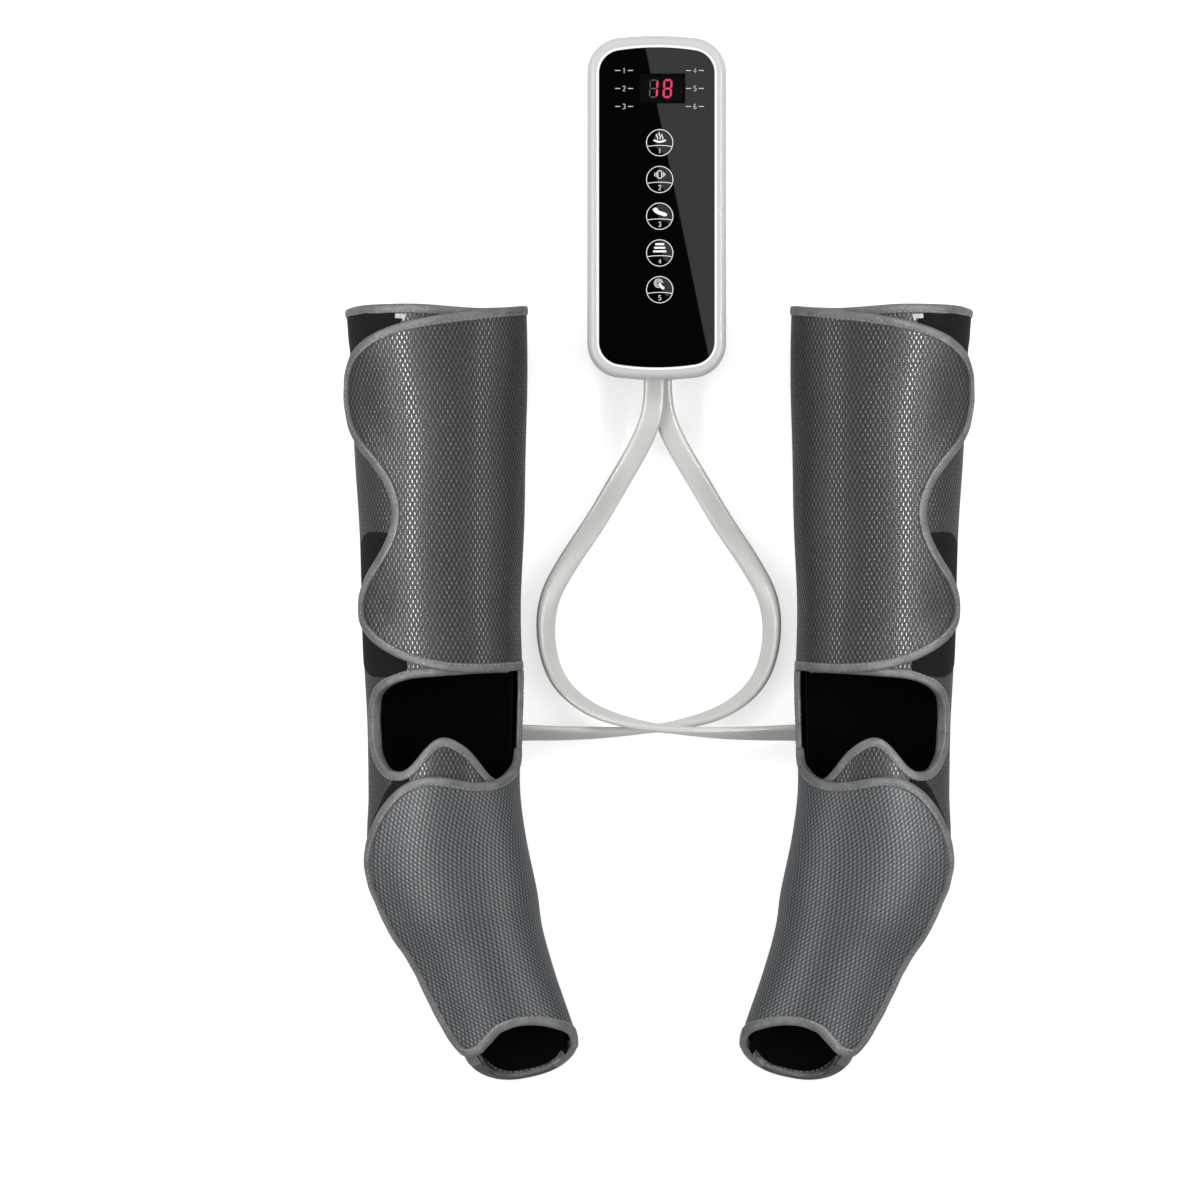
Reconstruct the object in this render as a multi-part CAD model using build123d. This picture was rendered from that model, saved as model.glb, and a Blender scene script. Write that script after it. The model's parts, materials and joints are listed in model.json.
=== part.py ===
from build123d import *
import math
import os

# Leg compression massager: an air pump controller, two flat twin hoses and a pair of leg and foot
# sleeves, all lying on one surface. Millimetres and degrees. +Z is up, +Y runs from the toes to the
# controller, and the origin is on the surface, in the middle of the whole set.

# ---------------------------------------------------------------- driving sizes: controller case
CONTROLLER_X = -1.4            # middle of the case
CONTROLLER_Y = 229.4
CASE_WIDTH = 90.3
CASE_LENGTH = 223.4
CASE_TOP = 40.0                # height of the bezel's crest above the surface
CASE_BOTTOM = 1.0              # the rear cover stands this far off the surface, on its feet
CORNER_RADIUS = 22.4
END_CROWN = 4.4                # how far the two short ends bulge
CASE_WALL = 2.3
SEAM_Z = 26.0                  # where the rear cover meets the bezel
FRONT_ROUND = 5.0
REAR_ROUND = 8.0
BEZEL_WIDTH = 7.5              # white ring round the glossy panel
PANEL_THICKNESS = 2.0
PANEL_SINK = 0.6               # panel's face below the bezel's crest
PANEL_LEDGE = 2.6              # width of the shelf that the panel rests on
LEDGE_THICKNESS = 1.5
PANEL_GAP = 0.15
CUT_OVER = 1.0                 # how far a cutter runs past the face it opens

# Keys and display
KEY_COLUMN = 1.9               # sideways offset of the key column and the figures
WINDOW_OFFSET = 3.1            # sideways offset of the display window
DISPLAY_FROM_END = 34.3        # from the case's end to the display's middle
FIRST_KEY_BELOW = 35.3         # from the display's middle to the first key
KEY_COUNT = 5
KEY_PITCH = 23.9
KEY_RADIUS = 9.1
KEY_FLANGE = 1.2               # how far the flange under the panel reaches past the key
FLANGE_THICKNESS = 0.9
KEY_STEM_RADIUS = 2.2
KEY_TRAVEL = 0.8
KEY_GAP = 0.2
KEY_REST_GAP = 0.1             # left between stem and switch when the key is fully down
KEY_EDGE_ROUND = 0.3
WINDOW_WIDTH = 30.9
WINDOW_HEIGHT = 19.5
WINDOW_THICKNESS = 1.6
DIGIT_WIDTH = 5.6
DIGIT_HEIGHT = 12.0
DIGIT_STROKE = 1.3
DIGIT_PITCH = 8.6
DIGIT_RELIEF = 0.2

# Circuit board, under the panel
BOARD_SIDE_GAP = 3.4           # between the board and the case's side walls
BOARD_END_GAP = 19.2           # and its end walls
BOARD_THICKNESS = 1.6
BOARD_BOTTOM = 28.0
BOARD_CORNER = 8.0
BOARD_SCREW_INSET = 8.8        # from the case's side to a screw
BOARD_SCREW_FROM_END = 38.5
SWITCH_SIZE = 6.0
SWITCH_HEIGHT = 3.0
PLUNGER_RADIUS = 1.6
PLUNGER_HEIGHT = 0.6
INDICATOR_X = 23.0             # indicator lights, in two columns beside the display
INDICATOR_PITCH = 11.7
INDICATOR_SIZE = (3.2, 2.8, 1.9)
# Chips and a plug under the board: width, length, height, side, and distance below the display
CHIPS = [(12, 12, 1.2, 0, 38.3), (6, 8, 1.4, -20, 34.3), (6, 8, 1.4, -20, 18.3), (14, 6, 5.5, 24, 16.3)]
CAPACITOR_RADIUS = 5.0
CAPACITOR_HEIGHT = 11.0
CAPACITOR_X = -24.0
CAPACITOR_BELOW = 50.0
BUZZER_RADIUS = 6.0
BUZZER_HEIGHT = 6.5
BUZZER_HOLE_RADIUS = 1.2
BUZZER_HOLE_DEPTH = 2.0
BUZZER_X = -24.0
BUZZER_FROM_END = 40.5

# Case screws and feet
CASE_SCREW_INSET = 14.7
CASE_SCREW_FROM_END = 13.0
BOSS_RADIUS = 3.8
SCREW_RADIUS = 1.4
SCREW_HEAD_RADIUS = 2.7
SCREW_HEAD_HEIGHT = 1.8
SCREW_CLEARANCE = 0.2
SCREW_RECESS = 5.0             # from the rear cover's outside to the shoulder under the head
SCREW_BITE = 6.0               # length of a case screw inside the bezel's boss
HOLE_FLOOR = 1.0               # material left over a blind screw hole
FOOT_RADIUS = 5.0
FOOT_SINK = 0.6
FOOT_INSET = 14.2
FOOT_FROM_END = 30.5
VENT_COUNT = 6
VENT_PITCH = 5.0
VENT_LENGTH = 18.0
VENT_WIDTH = 2.0
VENT_FROM_END = 65.5

# Pump, a three chamber diaphragm pump on its side
PUMP_X = 18.0
PUMP_FROM_HOSES = 84.0         # from the hose end to the joint between diaphragm and housing
PUMP_RADIUS = 11.3
PUMP_WALL = 2.0
HOUSING_LENGTH = 19.0
HEAD_LENGTH = 10.0
DIAPHRAGM_THICKNESS = 1.5
MOTOR_RADIUS = 10.6
MOTOR_LENGTH = 32.0
SHAFT_RADIUS = 1.0
SHAFT_CLEARANCE = 0.05
SHAFT_HOLE_RADIUS = 3.0        # hole in the pump housing's end wall
MOTOR_EDGE_ROUND = 1.0
CRANK_RADIUS = 4.6
CRANK_OFFSET = 1.8
CRANK_LENGTH = 7.0
CRANK_END_GAP = 1.0
NIPPLE_RADIUS = 2.4
NIPPLE_LENGTH = 6.0
FOAM_WIDTH = 29.0
FOAM_LENGTH = 9.0
FOAM_GAP = 0.2
FOAM_UNDER_HOUSING = 10.0      # from the joint between housing and motor
FOAM_UNDER_MOTOR = 21.0

# Valves, on a manifold beside the pump
MANIFOLD_X = -19.0
MANIFOLD_WIDTH = 15.0
MANIFOLD_HEIGHT = 8.0
MANIFOLD_FROM_HOSES = 52.5
VALVE_COUNT = 4
VALVE_PITCH = 18.0
VALVE_LENGTH = 15.0
VALVE_WIDTH = 12.5
VALVE_HEIGHT = 13.5
VALVE_EDGE_ROUND = 1.5
AIR_TUBE_RADIUS = 2.2
AIR_TUBE_BEND = 8.0
AIR_TUBE_LEAD = 12.0           # straight length at each end of a tube
AIR_TUBE_SPREAD = 4.0          # the two outlets, to either side of the manifold's middle

# Power inlet, in the end face away from the hoses
INLET_Z = 16.0
INLET_BARREL_RADIUS = 4.2
INLET_BORE_RADIUS = 2.85
INLET_PIN_RADIUS = 1.05
INLET_DEPTH = 9.5
INLET_BODY = 11.0
INLET_FLAT = 8.0               # depth of the hole that frees the barrel from the rounded edge
INLET_SINK = 0.1               # barrel's face behind the case
PIN_SINK = 0.5                 # pin's end behind the case
POST_LENGTH = 5.0              # of the post under the inlet
POST_ROOT = 1.0                # how far posts and bosses reach into the floor that carries them

# Flat air hoses
HOSE_WIDTH = 14.0
HOSE_THICKNESS = 5.4
HOSE_EDGE_RADIUS = 2.6
HOSE_EXIT_UPPER_X = -2.8
HOSE_EXIT_UPPER_Z = 21.3
HOSE_EXIT_LOWER_X = 1.6
HOSE_EXIT_LOWER_Z = 14.5
GROMMET_WIDTH = 25.0
GROMMET_EDGE_ROUND = 2.0
GROMMET_LIP = 1.6
GROMMET_DEPTH = 7.0
GROMMET_FLANGE = 3.0

# ---------------------------------------------------------------- driving sizes: sleeves
SLEEVE_SPACING = 283.4         # between the middles of the two calves
SLEEVE_TOP_Y = 165.0           # the open top rim
# Sections of the left sleeve: distance down from the top rim, sideways offset of the middle towards
# the other leg, width, height and turn about the vertical
SLEEVE_SECTIONS = [
    (-4.0, -5.5, 121.5, 98.8, 0.0),
    (61.0, -3.2, 118.3, 96.2, 0.0),
    (126.0, -2.3, 113.8, 93.6, 0.0),
    (191.0, -2.0, 109.2, 91.0, 0.0),
    (238.0, -0.7, 106.6, 89.0, 0.0),
    (275.6, -0.5, 103.1, 87.8, 0.0),
    (314.6, 0.0, 102.7, 87.1, 3.0),
    (353.6, 2.0, 109.0, 83.2, 8.5),
    (392.0, 13.0, 102.3, 78.0, 12.0),
    (415.0, 22.4, 90.4, 72.8, 15.0),
    (443.5, 33.5, 84.1, 67.6, 15.0),
    (481.0, 49.7, 76.0, 61.8, 15.0),
    (510.0, 59.1, 71.5, 57.2, 15.0),
    (530.0, 65.6, 68.5, 53.5, 15.0),
]
FLOOR_FLATNESS = 2.5           # power of the squarer curve of a section's lower half
LOFT_STEP = 45.0               # distance between lofted sections
END_STEP = 6.0
ANGLE_STEP = 22.5
END_ANGLE = 5.0

FABRIC_THICKNESS = 2.5
FLAP_THICKNESS = 2.2
LINING_THICKNESS = 1.0
AIRBAG_THICKNESS = 3.0
SOLE_AIRBAG_THICKNESS = 2.2
HEATER_THICKNESS = 0.6
HOOK_THICKNESS = 0.55
LAYER_GAP = 0.3
HOOK_LAP = 0.3                 # clearance under a hook patch
UNDERLAP_START = 22.5          # angle of the hidden edge, from the inner side over the top
UNDERLAP_FULL = 180.0          # the panel lies under the flap up to here...
UNDERLAP_NONE = 270.0          # ...and has come out to the sleeve's full size here
FLAP_START = 0.5
FLAP_END = 180.0
AIRBAG_FROM = 225.0
AIRBAG_TO = 337.5
SOLE_FROM = 225.0
SOLE_TO = 315.0
HOOKS_FROM = 90.0
HOOKS_TO = 247.5
CALF_BAGS = [("calf_airbag_upper", 12.0, 112.0), ("calf_airbag_lower", 118.0, 228.0)]
SOLE_BAG = (315.0, 450.0)
FLAP_REACH = 243.0             # lowest point that the calf flap's cloth reaches
SLEEVE_END = 528.0             # the cloth runs past the slanted toe cut

TOE_DOWN = 482.0               # where the toe cut crosses the sleeve's middle
TOE_TURN = 12.0
TOE_SLANT = 34.0

CALF_HINGE_OUTSET = 2.2        # hinge line outside the cloth, so that the flap swings clear
FOOT_HINGE_OUTSET = 1.0
HINGE_DROP = 0.4
CALF_HINGE_DOWN = (0.0, 240.0)
FOOT_HINGE_DOWN = (306.0, 480.0)

# Edges on the sleeve's own grid: (distance down, share of the width from the outer side)
CALF_FLAP_EDGE = [
    (0.5, 1.0), (4.5, 0.70), (10.4, 0.374), (23.0, 0.128), (52.0, -0.02), (86.0, 0.03),
    (108.0, 0.166), (132.0, 0.245), (158.0, 0.187), (180.0, 0.058), (204.0, 0.03),
    (223.0, 0.17), (234.7, 0.44), (237.4, 0.80), (236.0, 1.02),
]
FOOT_FLAP_EDGE = [
    (288.0, 1.05), (299.0, 0.985), (306.5, 0.928), (311.0, 0.78), (307.2, 0.55), (306.6, 0.36),
    (314.0, 0.215), (323.0, 0.14), (337.0, 0.068), (352.0, 0.01), (366.0, -0.06),
]
HEEL_UPPER_RIM = [
    (237.2, 1.08), (238.0, 0.757), (240.2, 0.445), (245.0, 0.21), (253.0, 0.115), (270.0, 0.072),
    (292.0, 0.096), (303.0, 0.16),
]
HEEL_LOWER_RIM = [
    (303.0, 0.16), (305.0, 0.25), (289.0, 0.37), (280.8, 0.486), (285.4, 0.593), (298.0, 0.72),
    (309.0, 0.83), (313.0, 1.08),
]
# Hook patches: from, to, inner share, corner radius
HOOK_PATCHES = [(5.5, 31.0, 0.33, 4.0), (149.0, 243.0, 0.27, 9.0), (303.0, 350.0, 0.31, 7.0)]

# Cutters that shape the cloth from above
CUT_LOW = 30.0                 # they reach down to here, below the sleeve's widest height
CUT_HIGH = 130.0
CUT_SIDE = 0.15                # share of the width by which they overhang the sleeve's side
HEEL_FLOOR = 46.0              # lowest height of the heel opening
TOE_CUT_SIZE = 400.0

PORT_DOWN = 277.5
PORT_REACH = 44.0              # from the sleeve's middle to the port's face
PORT_DEPTH = 16.0
PORT_WIDTH = 19.0
PORT_HEIGHT = 10.4
PORT_Z = 9.0
PORT_EDGE_ROUND = 2.0

VIBRATOR_DOWN = 392.0
VIBRATOR_RADIUS = 7.0
VIBRATOR_WALL = 0.4
WEIGHT_RADIUS = 5.6
WEIGHT_GAP = 0.3
WEIGHT_PIN_RADIUS = 0.8
WEIGHT_HUB = 1.0               # material left round the pin on the cut-away side
PIN_CLEARANCE = 0.05

# Routes of the two hoses, from the controller's grommet to the ports: chosen points
PORT_X = SLEEVE_SPACING / 2 + SLEEVE_SECTIONS[5][1] * -1 - PORT_REACH
PORT_Y = SLEEVE_TOP_Y - PORT_DOWN
GROMMET_Y = CONTROLLER_Y - CASE_LENGTH / 2
HOSE_RIGHT_ROUTE = [           # on top at both crossings
    (HOSE_EXIT_UPPER_X, GROMMET_Y, HOSE_EXIT_UPPER_Z), (HOSE_EXIT_UPPER_X, 103.5, HOSE_EXIT_UPPER_Z),
    (-6.4, 87.5, 19.0), (-15.0, 70.0, 12.9), (-27.0, 49.5, 6.6), (-41.5, 24.5, 3.4), (-59.5, -1.5, 4.2),
    (-73.0, -26.0, 6.2), (-74.2, -55.0, 7.8), (-65.8, -80.5, 10.0), (-45.0, -98.2, 15.5),
    (-17.5, -107.0, 22.0), (13.6, -111.3, 22.0), (43.0, -112.8, 16.0), (68.0, -113.0, 10.6),
    (84.0, PORT_Y, PORT_Z), (PORT_X, PORT_Y, PORT_Z),
]
HOSE_LEFT_ROUTE = [            # underneath
    (HOSE_EXIT_LOWER_X, GROMMET_Y, HOSE_EXIT_LOWER_Z), (HOSE_EXIT_LOWER_X, 103.5, HOSE_EXIT_LOWER_Z),
    (5.6, 87.5, 12.2), (14.6, 70.0, 8.0), (27.0, 49.5, 4.4), (41.5, 24.5, 3.1), (59.5, -1.5, 4.2),
    (73.0, -26.0, 6.2), (74.2, -55.0, 7.2), (65.8, -80.5, 7.0), (45.0, -98.2, 7.0),
    (17.5, -107.0, 7.2), (-13.6, -111.3, 7.2), (-43.0, -112.8, 7.4), (-68.0, -113.0, 8.2),
    (-84.0, PORT_Y, PORT_Z), (-PORT_X, PORT_Y, PORT_Z),
]

# ---------------------------------------------------------------- levels that follow from the sizes
PANEL_TOP = CASE_TOP - PANEL_SINK
PANEL_BOTTOM = PANEL_TOP - PANEL_THICKNESS
LEDGE_BOTTOM = PANEL_BOTTOM - LEDGE_THICKNESS
BOARD_TOP = BOARD_BOTTOM + BOARD_THICKNESS
FLOOR_TOP = CASE_BOTTOM + CASE_WALL
PUMP_Z = FLOOR_TOP + PUMP_RADIUS + FOAM_GAP
CASE_END = CASE_LENGTH / 2
DISPLAY_Y = CASE_END - DISPLAY_FROM_END
FIRST_KEY_Y = DISPLAY_Y - FIRST_KEY_BELOW
BOARD_WIDTH = CASE_WIDTH - 2 * (CASE_WALL + BOARD_SIDE_GAP)
BOARD_LENGTH = CASE_LENGTH - 2 * (CASE_WALL + BOARD_END_GAP)
BOARD_SCREWS = (CASE_WIDTH / 2 - BOARD_SCREW_INSET, CASE_END - BOARD_SCREW_FROM_END)
CASE_SCREWS = (CASE_WIDTH / 2 - CASE_SCREW_INSET, CASE_END - CASE_SCREW_FROM_END)
FEET = (CASE_WIDTH / 2 - FOOT_INSET, CASE_END - FOOT_FROM_END)
BUZZER_PLACE = (BUZZER_X, BUZZER_FROM_END - CASE_END)
PUMP_Y = PUMP_FROM_HOSES - CASE_END
MANIFOLD_START = MANIFOLD_FROM_HOSES - CASE_END

os.makedirs("parts", exist_ok=True)


def save(name, *solids):
    shape = solids[0] if len(solids) == 1 else Compound(children=list(solids))
    export_step(shape, f"parts/{name}.step")


def placed(shape):
    """Move a piece that was drawn about the middle of the case to its place."""
    return Pos(CONTROLLER_X, CONTROLLER_Y, 0) * shape


def prism(face, low, high):
    return extrude(Pos(0, 0, low) * face, high - low)


def rod(radius, low, high, x=0.0, y=0.0):
    """Upright cylinder between two heights."""
    return Pos(x, y, low) * Cylinder(radius, high - low, align=(Align.CENTER, Align.CENTER, Align.MIN))


def lying_rod(radius, start, end, x, z):
    """Cylinder along Y between two places."""
    cylinder = Cylinder(radius, end - start, align=(Align.CENTER, Align.CENTER, Align.MIN))
    return Pos(x, start, z) * Rot(-90, 0, 0) * cylinder


def block(width, length, low, high, x=0.0, y=0.0):
    align = (Align.CENTER, Align.CENTER, Align.MIN)
    return Pos(x, y, low) * Box(width, length, high - low, align=align)


def four(x, y):
    return [(sx * x, sy * y) for sx in (-1, 1) for sy in (-1, 1)]


# ---------------------------------------------------------------- controller

def case_outline(inset):
    """Rounded rectangle with crowned short ends, drawn in by inset all round."""
    w = CASE_WIDTH / 2 - inset
    end = CASE_END - inset
    side = end - END_CROWN
    edges = [
        Edge.make_line((w, -side), (w, side)),
        Edge.make_three_point_arc((w, side), (0, end), (-w, side)),
        Edge.make_line((-w, side), (-w, -side)),
        Edge.make_three_point_arc((-w, -side), (0, -end), (w, -side)),
    ]
    face = Face(Wire(edges))
    return face.fillet_2d(CORNER_RADIUS - inset, face.vertices())


def end_drop(x):
    """How far the crowned end has fallen back this far off the middle."""
    return END_CROWN * (x / (CASE_WIDTH / 2)) ** 2


def edges_at(shape, z):
    return shape.edges().filter_by_position(Axis.Z, z - 0.01, z + 0.01)


def key_places():
    return [(KEY_COLUMN, FIRST_KEY_Y - i * KEY_PITCH) for i in range(KEY_COUNT)]


def make_bezel():
    shell = prism(case_outline(0), SEAM_Z, CASE_TOP)
    shell = fillet(edges_at(shell, CASE_TOP), FRONT_ROUND)
    shell -= prism(case_outline(CASE_WALL), SEAM_Z, LEDGE_BOTTOM)
    shell -= prism(case_outline(BEZEL_WIDTH + PANEL_LEDGE), LEDGE_BOTTOM, CASE_TOP)
    shell -= prism(case_outline(BEZEL_WIDTH), PANEL_BOTTOM, CASE_TOP)
    for x, y in four(*BOARD_SCREWS):
        shell += rod(BOSS_RADIUS, BOARD_TOP, LEDGE_BOTTOM, x, y)
        shell -= rod(SCREW_RADIUS, BOARD_TOP, LEDGE_BOTTOM - HOLE_FLOOR, x, y)
    for x, y in four(*CASE_SCREWS):
        shell += rod(BOSS_RADIUS, SEAM_Z, LEDGE_BOTTOM, x, y)
        shell -= rod(SCREW_RADIUS, SEAM_Z, LEDGE_BOTTOM - HOLE_FLOOR, x, y)
    return shell


def make_rear_cover():
    shell = prism(case_outline(0), CASE_BOTTOM, SEAM_Z)
    shell = fillet(edges_at(shell, CASE_BOTTOM), REAR_ROUND)
    cavity = prism(case_outline(CASE_WALL), FLOOR_TOP, SEAM_Z)
    shell -= fillet(edges_at(cavity, FLOOR_TOP), REAR_ROUND - CASE_WALL)
    for x, y in four(*CASE_SCREWS):
        shell += rod(BOSS_RADIUS, FLOOR_TOP - POST_ROOT, SEAM_Z, x, y)
        shell -= rod(SCREW_RADIUS + SCREW_CLEARANCE, CASE_BOTTOM, SEAM_Z, x, y)
        shell -= rod(SCREW_HEAD_RADIUS + SCREW_CLEARANCE, CASE_BOTTOM, head_seat(), x, y)
    for x, y in four(*FEET):
        shell -= rod(FOOT_RADIUS, CASE_BOTTOM, CASE_BOTTOM + FOOT_SINK, x, y)
    for i in range(VENT_COUNT):
        y = CASE_END - VENT_FROM_END + (i - (VENT_COUNT - 1) / 2) * VENT_PITCH
        shell -= block(VENT_LENGTH, VENT_WIDTH, CASE_BOTTOM, FLOOR_TOP, MANIFOLD_X, y)
    hole_radius = INLET_BARREL_RADIUS + PANEL_GAP
    shell -= lying_rod(hole_radius, CASE_END - INLET_FLAT, CASE_END + CUT_OVER, 0, INLET_Z)
    low, high = grommet_heights()
    return shell - block(GROMMET_WIDTH, 2 * (CASE_WALL + CUT_OVER), low, high, 0, -CASE_END)


def head_seat():
    """Height of the shoulder that a case screw's head pulls against."""
    return CASE_BOTTOM + SCREW_RECESS


def grommet_heights():
    margin = HOSE_THICKNESS / 2 + GROMMET_LIP
    return HOSE_EXIT_LOWER_Z - margin, HOSE_EXIT_UPPER_Z + margin


def make_case_screws():
    screws = []
    for x, y in four(*CASE_SCREWS):
        head = rod(SCREW_HEAD_RADIUS, head_seat() - SCREW_HEAD_HEIGHT, head_seat(), x, y)
        shank = rod(SCREW_RADIUS - SHAFT_CLEARANCE, head_seat(), SEAM_Z + SCREW_BITE, x, y)
        screws.append(head + shank)
    return screws


def make_board_screws():
    screws = []
    for x, y in four(*BOARD_SCREWS):
        head = rod(SCREW_HEAD_RADIUS, BOARD_BOTTOM - SCREW_HEAD_HEIGHT, BOARD_BOTTOM, x, y)
        shank = rod(SCREW_RADIUS - SHAFT_CLEARANCE, BOARD_BOTTOM, LEDGE_BOTTOM - 2 * HOLE_FLOOR, x, y)
        screws.append(head + shank)
    return screws


def make_touch_panel():
    panel = prism(case_outline(BEZEL_WIDTH + PANEL_GAP), PANEL_BOTTOM, PANEL_TOP)
    for x, y in key_places():
        panel -= rod(KEY_RADIUS + KEY_GAP, PANEL_BOTTOM, PANEL_TOP, x, y)
    opening = block(WINDOW_WIDTH, WINDOW_HEIGHT, PANEL_BOTTOM, PANEL_TOP, WINDOW_OFFSET, DISPLAY_Y)
    return panel - opening


def make_key(x, y):
    flange_top = PANEL_BOTTOM - LAYER_GAP
    key = rod(KEY_RADIUS, flange_top, PANEL_TOP, x, y)
    key = fillet(edges_at(key, PANEL_TOP), KEY_EDGE_ROUND)
    key += rod(KEY_RADIUS + KEY_FLANGE, flange_top - FLANGE_THICKNESS, flange_top, x, y)
    stem_end = BOARD_TOP + SWITCH_HEIGHT + PLUNGER_HEIGHT + KEY_TRAVEL + KEY_REST_GAP
    return key + rod(KEY_STEM_RADIUS, stem_end, flange_top, x, y)


def make_key_switches():
    switches = []
    for x, y in key_places():
        body_top = BOARD_TOP + SWITCH_HEIGHT
        body = block(SWITCH_SIZE, SWITCH_SIZE, BOARD_TOP, body_top, x, y)
        switches.append(body + rod(PLUNGER_RADIUS, body_top, body_top + PLUNGER_HEIGHT, x, y))
    return switches


def make_window():
    width = WINDOW_WIDTH - 2 * PANEL_GAP
    height = WINDOW_HEIGHT - 2 * PANEL_GAP
    return block(width, height, PANEL_TOP - WINDOW_THICKNESS, PANEL_TOP, WINDOW_OFFSET, DISPLAY_Y)


def led_top():
    return PANEL_TOP - WINDOW_THICKNESS - 2 * DIGIT_RELIEF


def make_led_display():
    width = WINDOW_WIDTH - 8 * PANEL_GAP
    height = WINDOW_HEIGHT - 8 * PANEL_GAP
    return block(width, height, BOARD_TOP, led_top(), WINDOW_OFFSET, DISPLAY_Y)


def make_digit(middle, segments):
    """Lit bars of one figure: top, middle, bottom, then the left and right uprights."""
    half_w = DIGIT_WIDTH / 2
    half_h = DIGIT_HEIGHT / 2
    upright = half_h - DIGIT_STROKE
    bars = {
        "top": (0, half_h, DIGIT_WIDTH - DIGIT_STROKE, DIGIT_STROKE),
        "middle": (0, 0, DIGIT_WIDTH - DIGIT_STROKE, DIGIT_STROKE),
        "bottom": (0, -half_h, DIGIT_WIDTH - DIGIT_STROKE, DIGIT_STROKE),
        "upper left": (-half_w, half_h / 2, DIGIT_STROKE, upright),
        "lower left": (-half_w, -half_h / 2, DIGIT_STROKE, upright),
        "upper right": (half_w, half_h / 2, DIGIT_STROKE, upright),
        "lower right": (half_w, -half_h / 2, DIGIT_STROKE, upright),
    }
    solids = []
    for name in segments:
        x, y, width, length = bars[name]
        place = (KEY_COLUMN + middle + x, DISPLAY_Y + y)
        solids.append(block(width, length, led_top(), led_top() + DIGIT_RELIEF, *place))
    return solids


def make_display_segments():
    one = ["upper right", "lower right"]
    eight = one + ["top", "middle", "bottom", "upper left", "lower left"]
    return make_digit(-DIGIT_PITCH / 2, one) + make_digit(DIGIT_PITCH / 2, eight)


def make_board():
    board = prism(RectangleRounded(BOARD_WIDTH, BOARD_LENGTH, BOARD_CORNER), BOARD_BOTTOM, BOARD_TOP)
    for x, y in four(*BOARD_SCREWS):
        board -= rod(SCREW_RADIUS + SCREW_CLEARANCE, BOARD_BOTTOM, BOARD_TOP, x, y)
    return board


def make_board_components():
    """Chips, a plug and a capacitor under the board, and six indicator lights on it."""
    solids = [block(w, l, BOARD_BOTTOM - h, BOARD_BOTTOM, x, DISPLAY_Y - y) for w, l, h, x, y in CHIPS]
    low, y = BOARD_BOTTOM - CAPACITOR_HEIGHT, DISPLAY_Y - CAPACITOR_BELOW
    solids.append(rod(CAPACITOR_RADIUS, low, BOARD_BOTTOM, CAPACITOR_X, y))
    width, length, height = INDICATOR_SIZE
    for side in (-1, 1):
        for row in (-1, 0, 1):
            place = (KEY_COLUMN + side * INDICATOR_X, DISPLAY_Y + row * INDICATOR_PITCH)
            solids.append(block(width, length, BOARD_TOP, BOARD_TOP + height, *place))
    return solids


def make_buzzer():
    low = BOARD_BOTTOM - BUZZER_HEIGHT
    body = rod(BUZZER_RADIUS, low, BOARD_BOTTOM, *BUZZER_PLACE)
    return body - rod(BUZZER_HOLE_RADIUS, low, low + BUZZER_HOLE_DEPTH, *BUZZER_PLACE)


def make_feet():
    return [rod(FOOT_RADIUS - PANEL_GAP, 0, CASE_BOTTOM + FOOT_SINK, x, y) for x, y in four(*FEET)]


def housing_end():
    return PUMP_Y + HOUSING_LENGTH


def make_pump_housing():
    body = lying_rod(PUMP_RADIUS, PUMP_Y, housing_end(), PUMP_X, PUMP_Z)
    body -= lying_rod(PUMP_RADIUS - PUMP_WALL, PUMP_Y, housing_end() - PUMP_WALL, PUMP_X, PUMP_Z)
    return body - lying_rod(SHAFT_HOLE_RADIUS, PUMP_Y, housing_end(), PUMP_X, PUMP_Z)


def make_pump_diaphragm():
    return lying_rod(PUMP_RADIUS, PUMP_Y - DIAPHRAGM_THICKNESS, PUMP_Y, PUMP_X, PUMP_Z)


def head_end():
    return PUMP_Y - DIAPHRAGM_THICKNESS - HEAD_LENGTH


def make_pump_head():
    head = lying_rod(PUMP_RADIUS, head_end(), PUMP_Y - DIAPHRAGM_THICKNESS, PUMP_X, PUMP_Z)
    return head + lying_rod(NIPPLE_RADIUS, head_end() - NIPPLE_LENGTH, head_end(), PUMP_X, PUMP_Z)


def make_pump_motor():
    start = housing_end()
    can = lying_rod(MOTOR_RADIUS, start, start + MOTOR_LENGTH, PUMP_X, PUMP_Z)
    can = fillet(can.edges(), MOTOR_EDGE_ROUND)
    return can - lying_rod(SHAFT_RADIUS + SHAFT_CLEARANCE, start, start + MOTOR_LENGTH / 2, PUMP_X, PUMP_Z)


def make_pump_crank():
    shaft_start = housing_end() - PUMP_WALL - CRANK_LENGTH
    shaft_end = housing_end() + MOTOR_LENGTH / 2 - CRANK_END_GAP
    shaft = lying_rod(SHAFT_RADIUS, shaft_start, shaft_end, PUMP_X, PUMP_Z)
    disc_end = housing_end() - PUMP_WALL - CRANK_END_GAP
    disc = lying_rod(CRANK_RADIUS, shaft_start, disc_end, PUMP_X + CRANK_OFFSET, PUMP_Z)
    tip_start = PUMP_Y + LAYER_GAP
    tip = lying_rod(SHAFT_RADIUS, tip_start, shaft_start, PUMP_X + 2 * CRANK_OFFSET, PUMP_Z)
    return shaft + disc + tip


def make_foam_mounts():
    mounts = []
    under_housing, under_motor = housing_end() - FOAM_UNDER_HOUSING, housing_end() + FOAM_UNDER_MOTOR
    for y, radius in ((under_housing, PUMP_RADIUS), (under_motor, MOTOR_RADIUS)):
        saddle = block(FOAM_WIDTH, FOAM_LENGTH, FLOOR_TOP, PUMP_Z, PUMP_X, y)
        cut = lying_rod(radius + FOAM_GAP, y - FOAM_LENGTH, y + FOAM_LENGTH, PUMP_X, PUMP_Z)
        mounts.extend((saddle - cut).solids())
    return mounts


def manifold_length():
    return VALVE_COUNT * VALVE_PITCH


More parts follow.
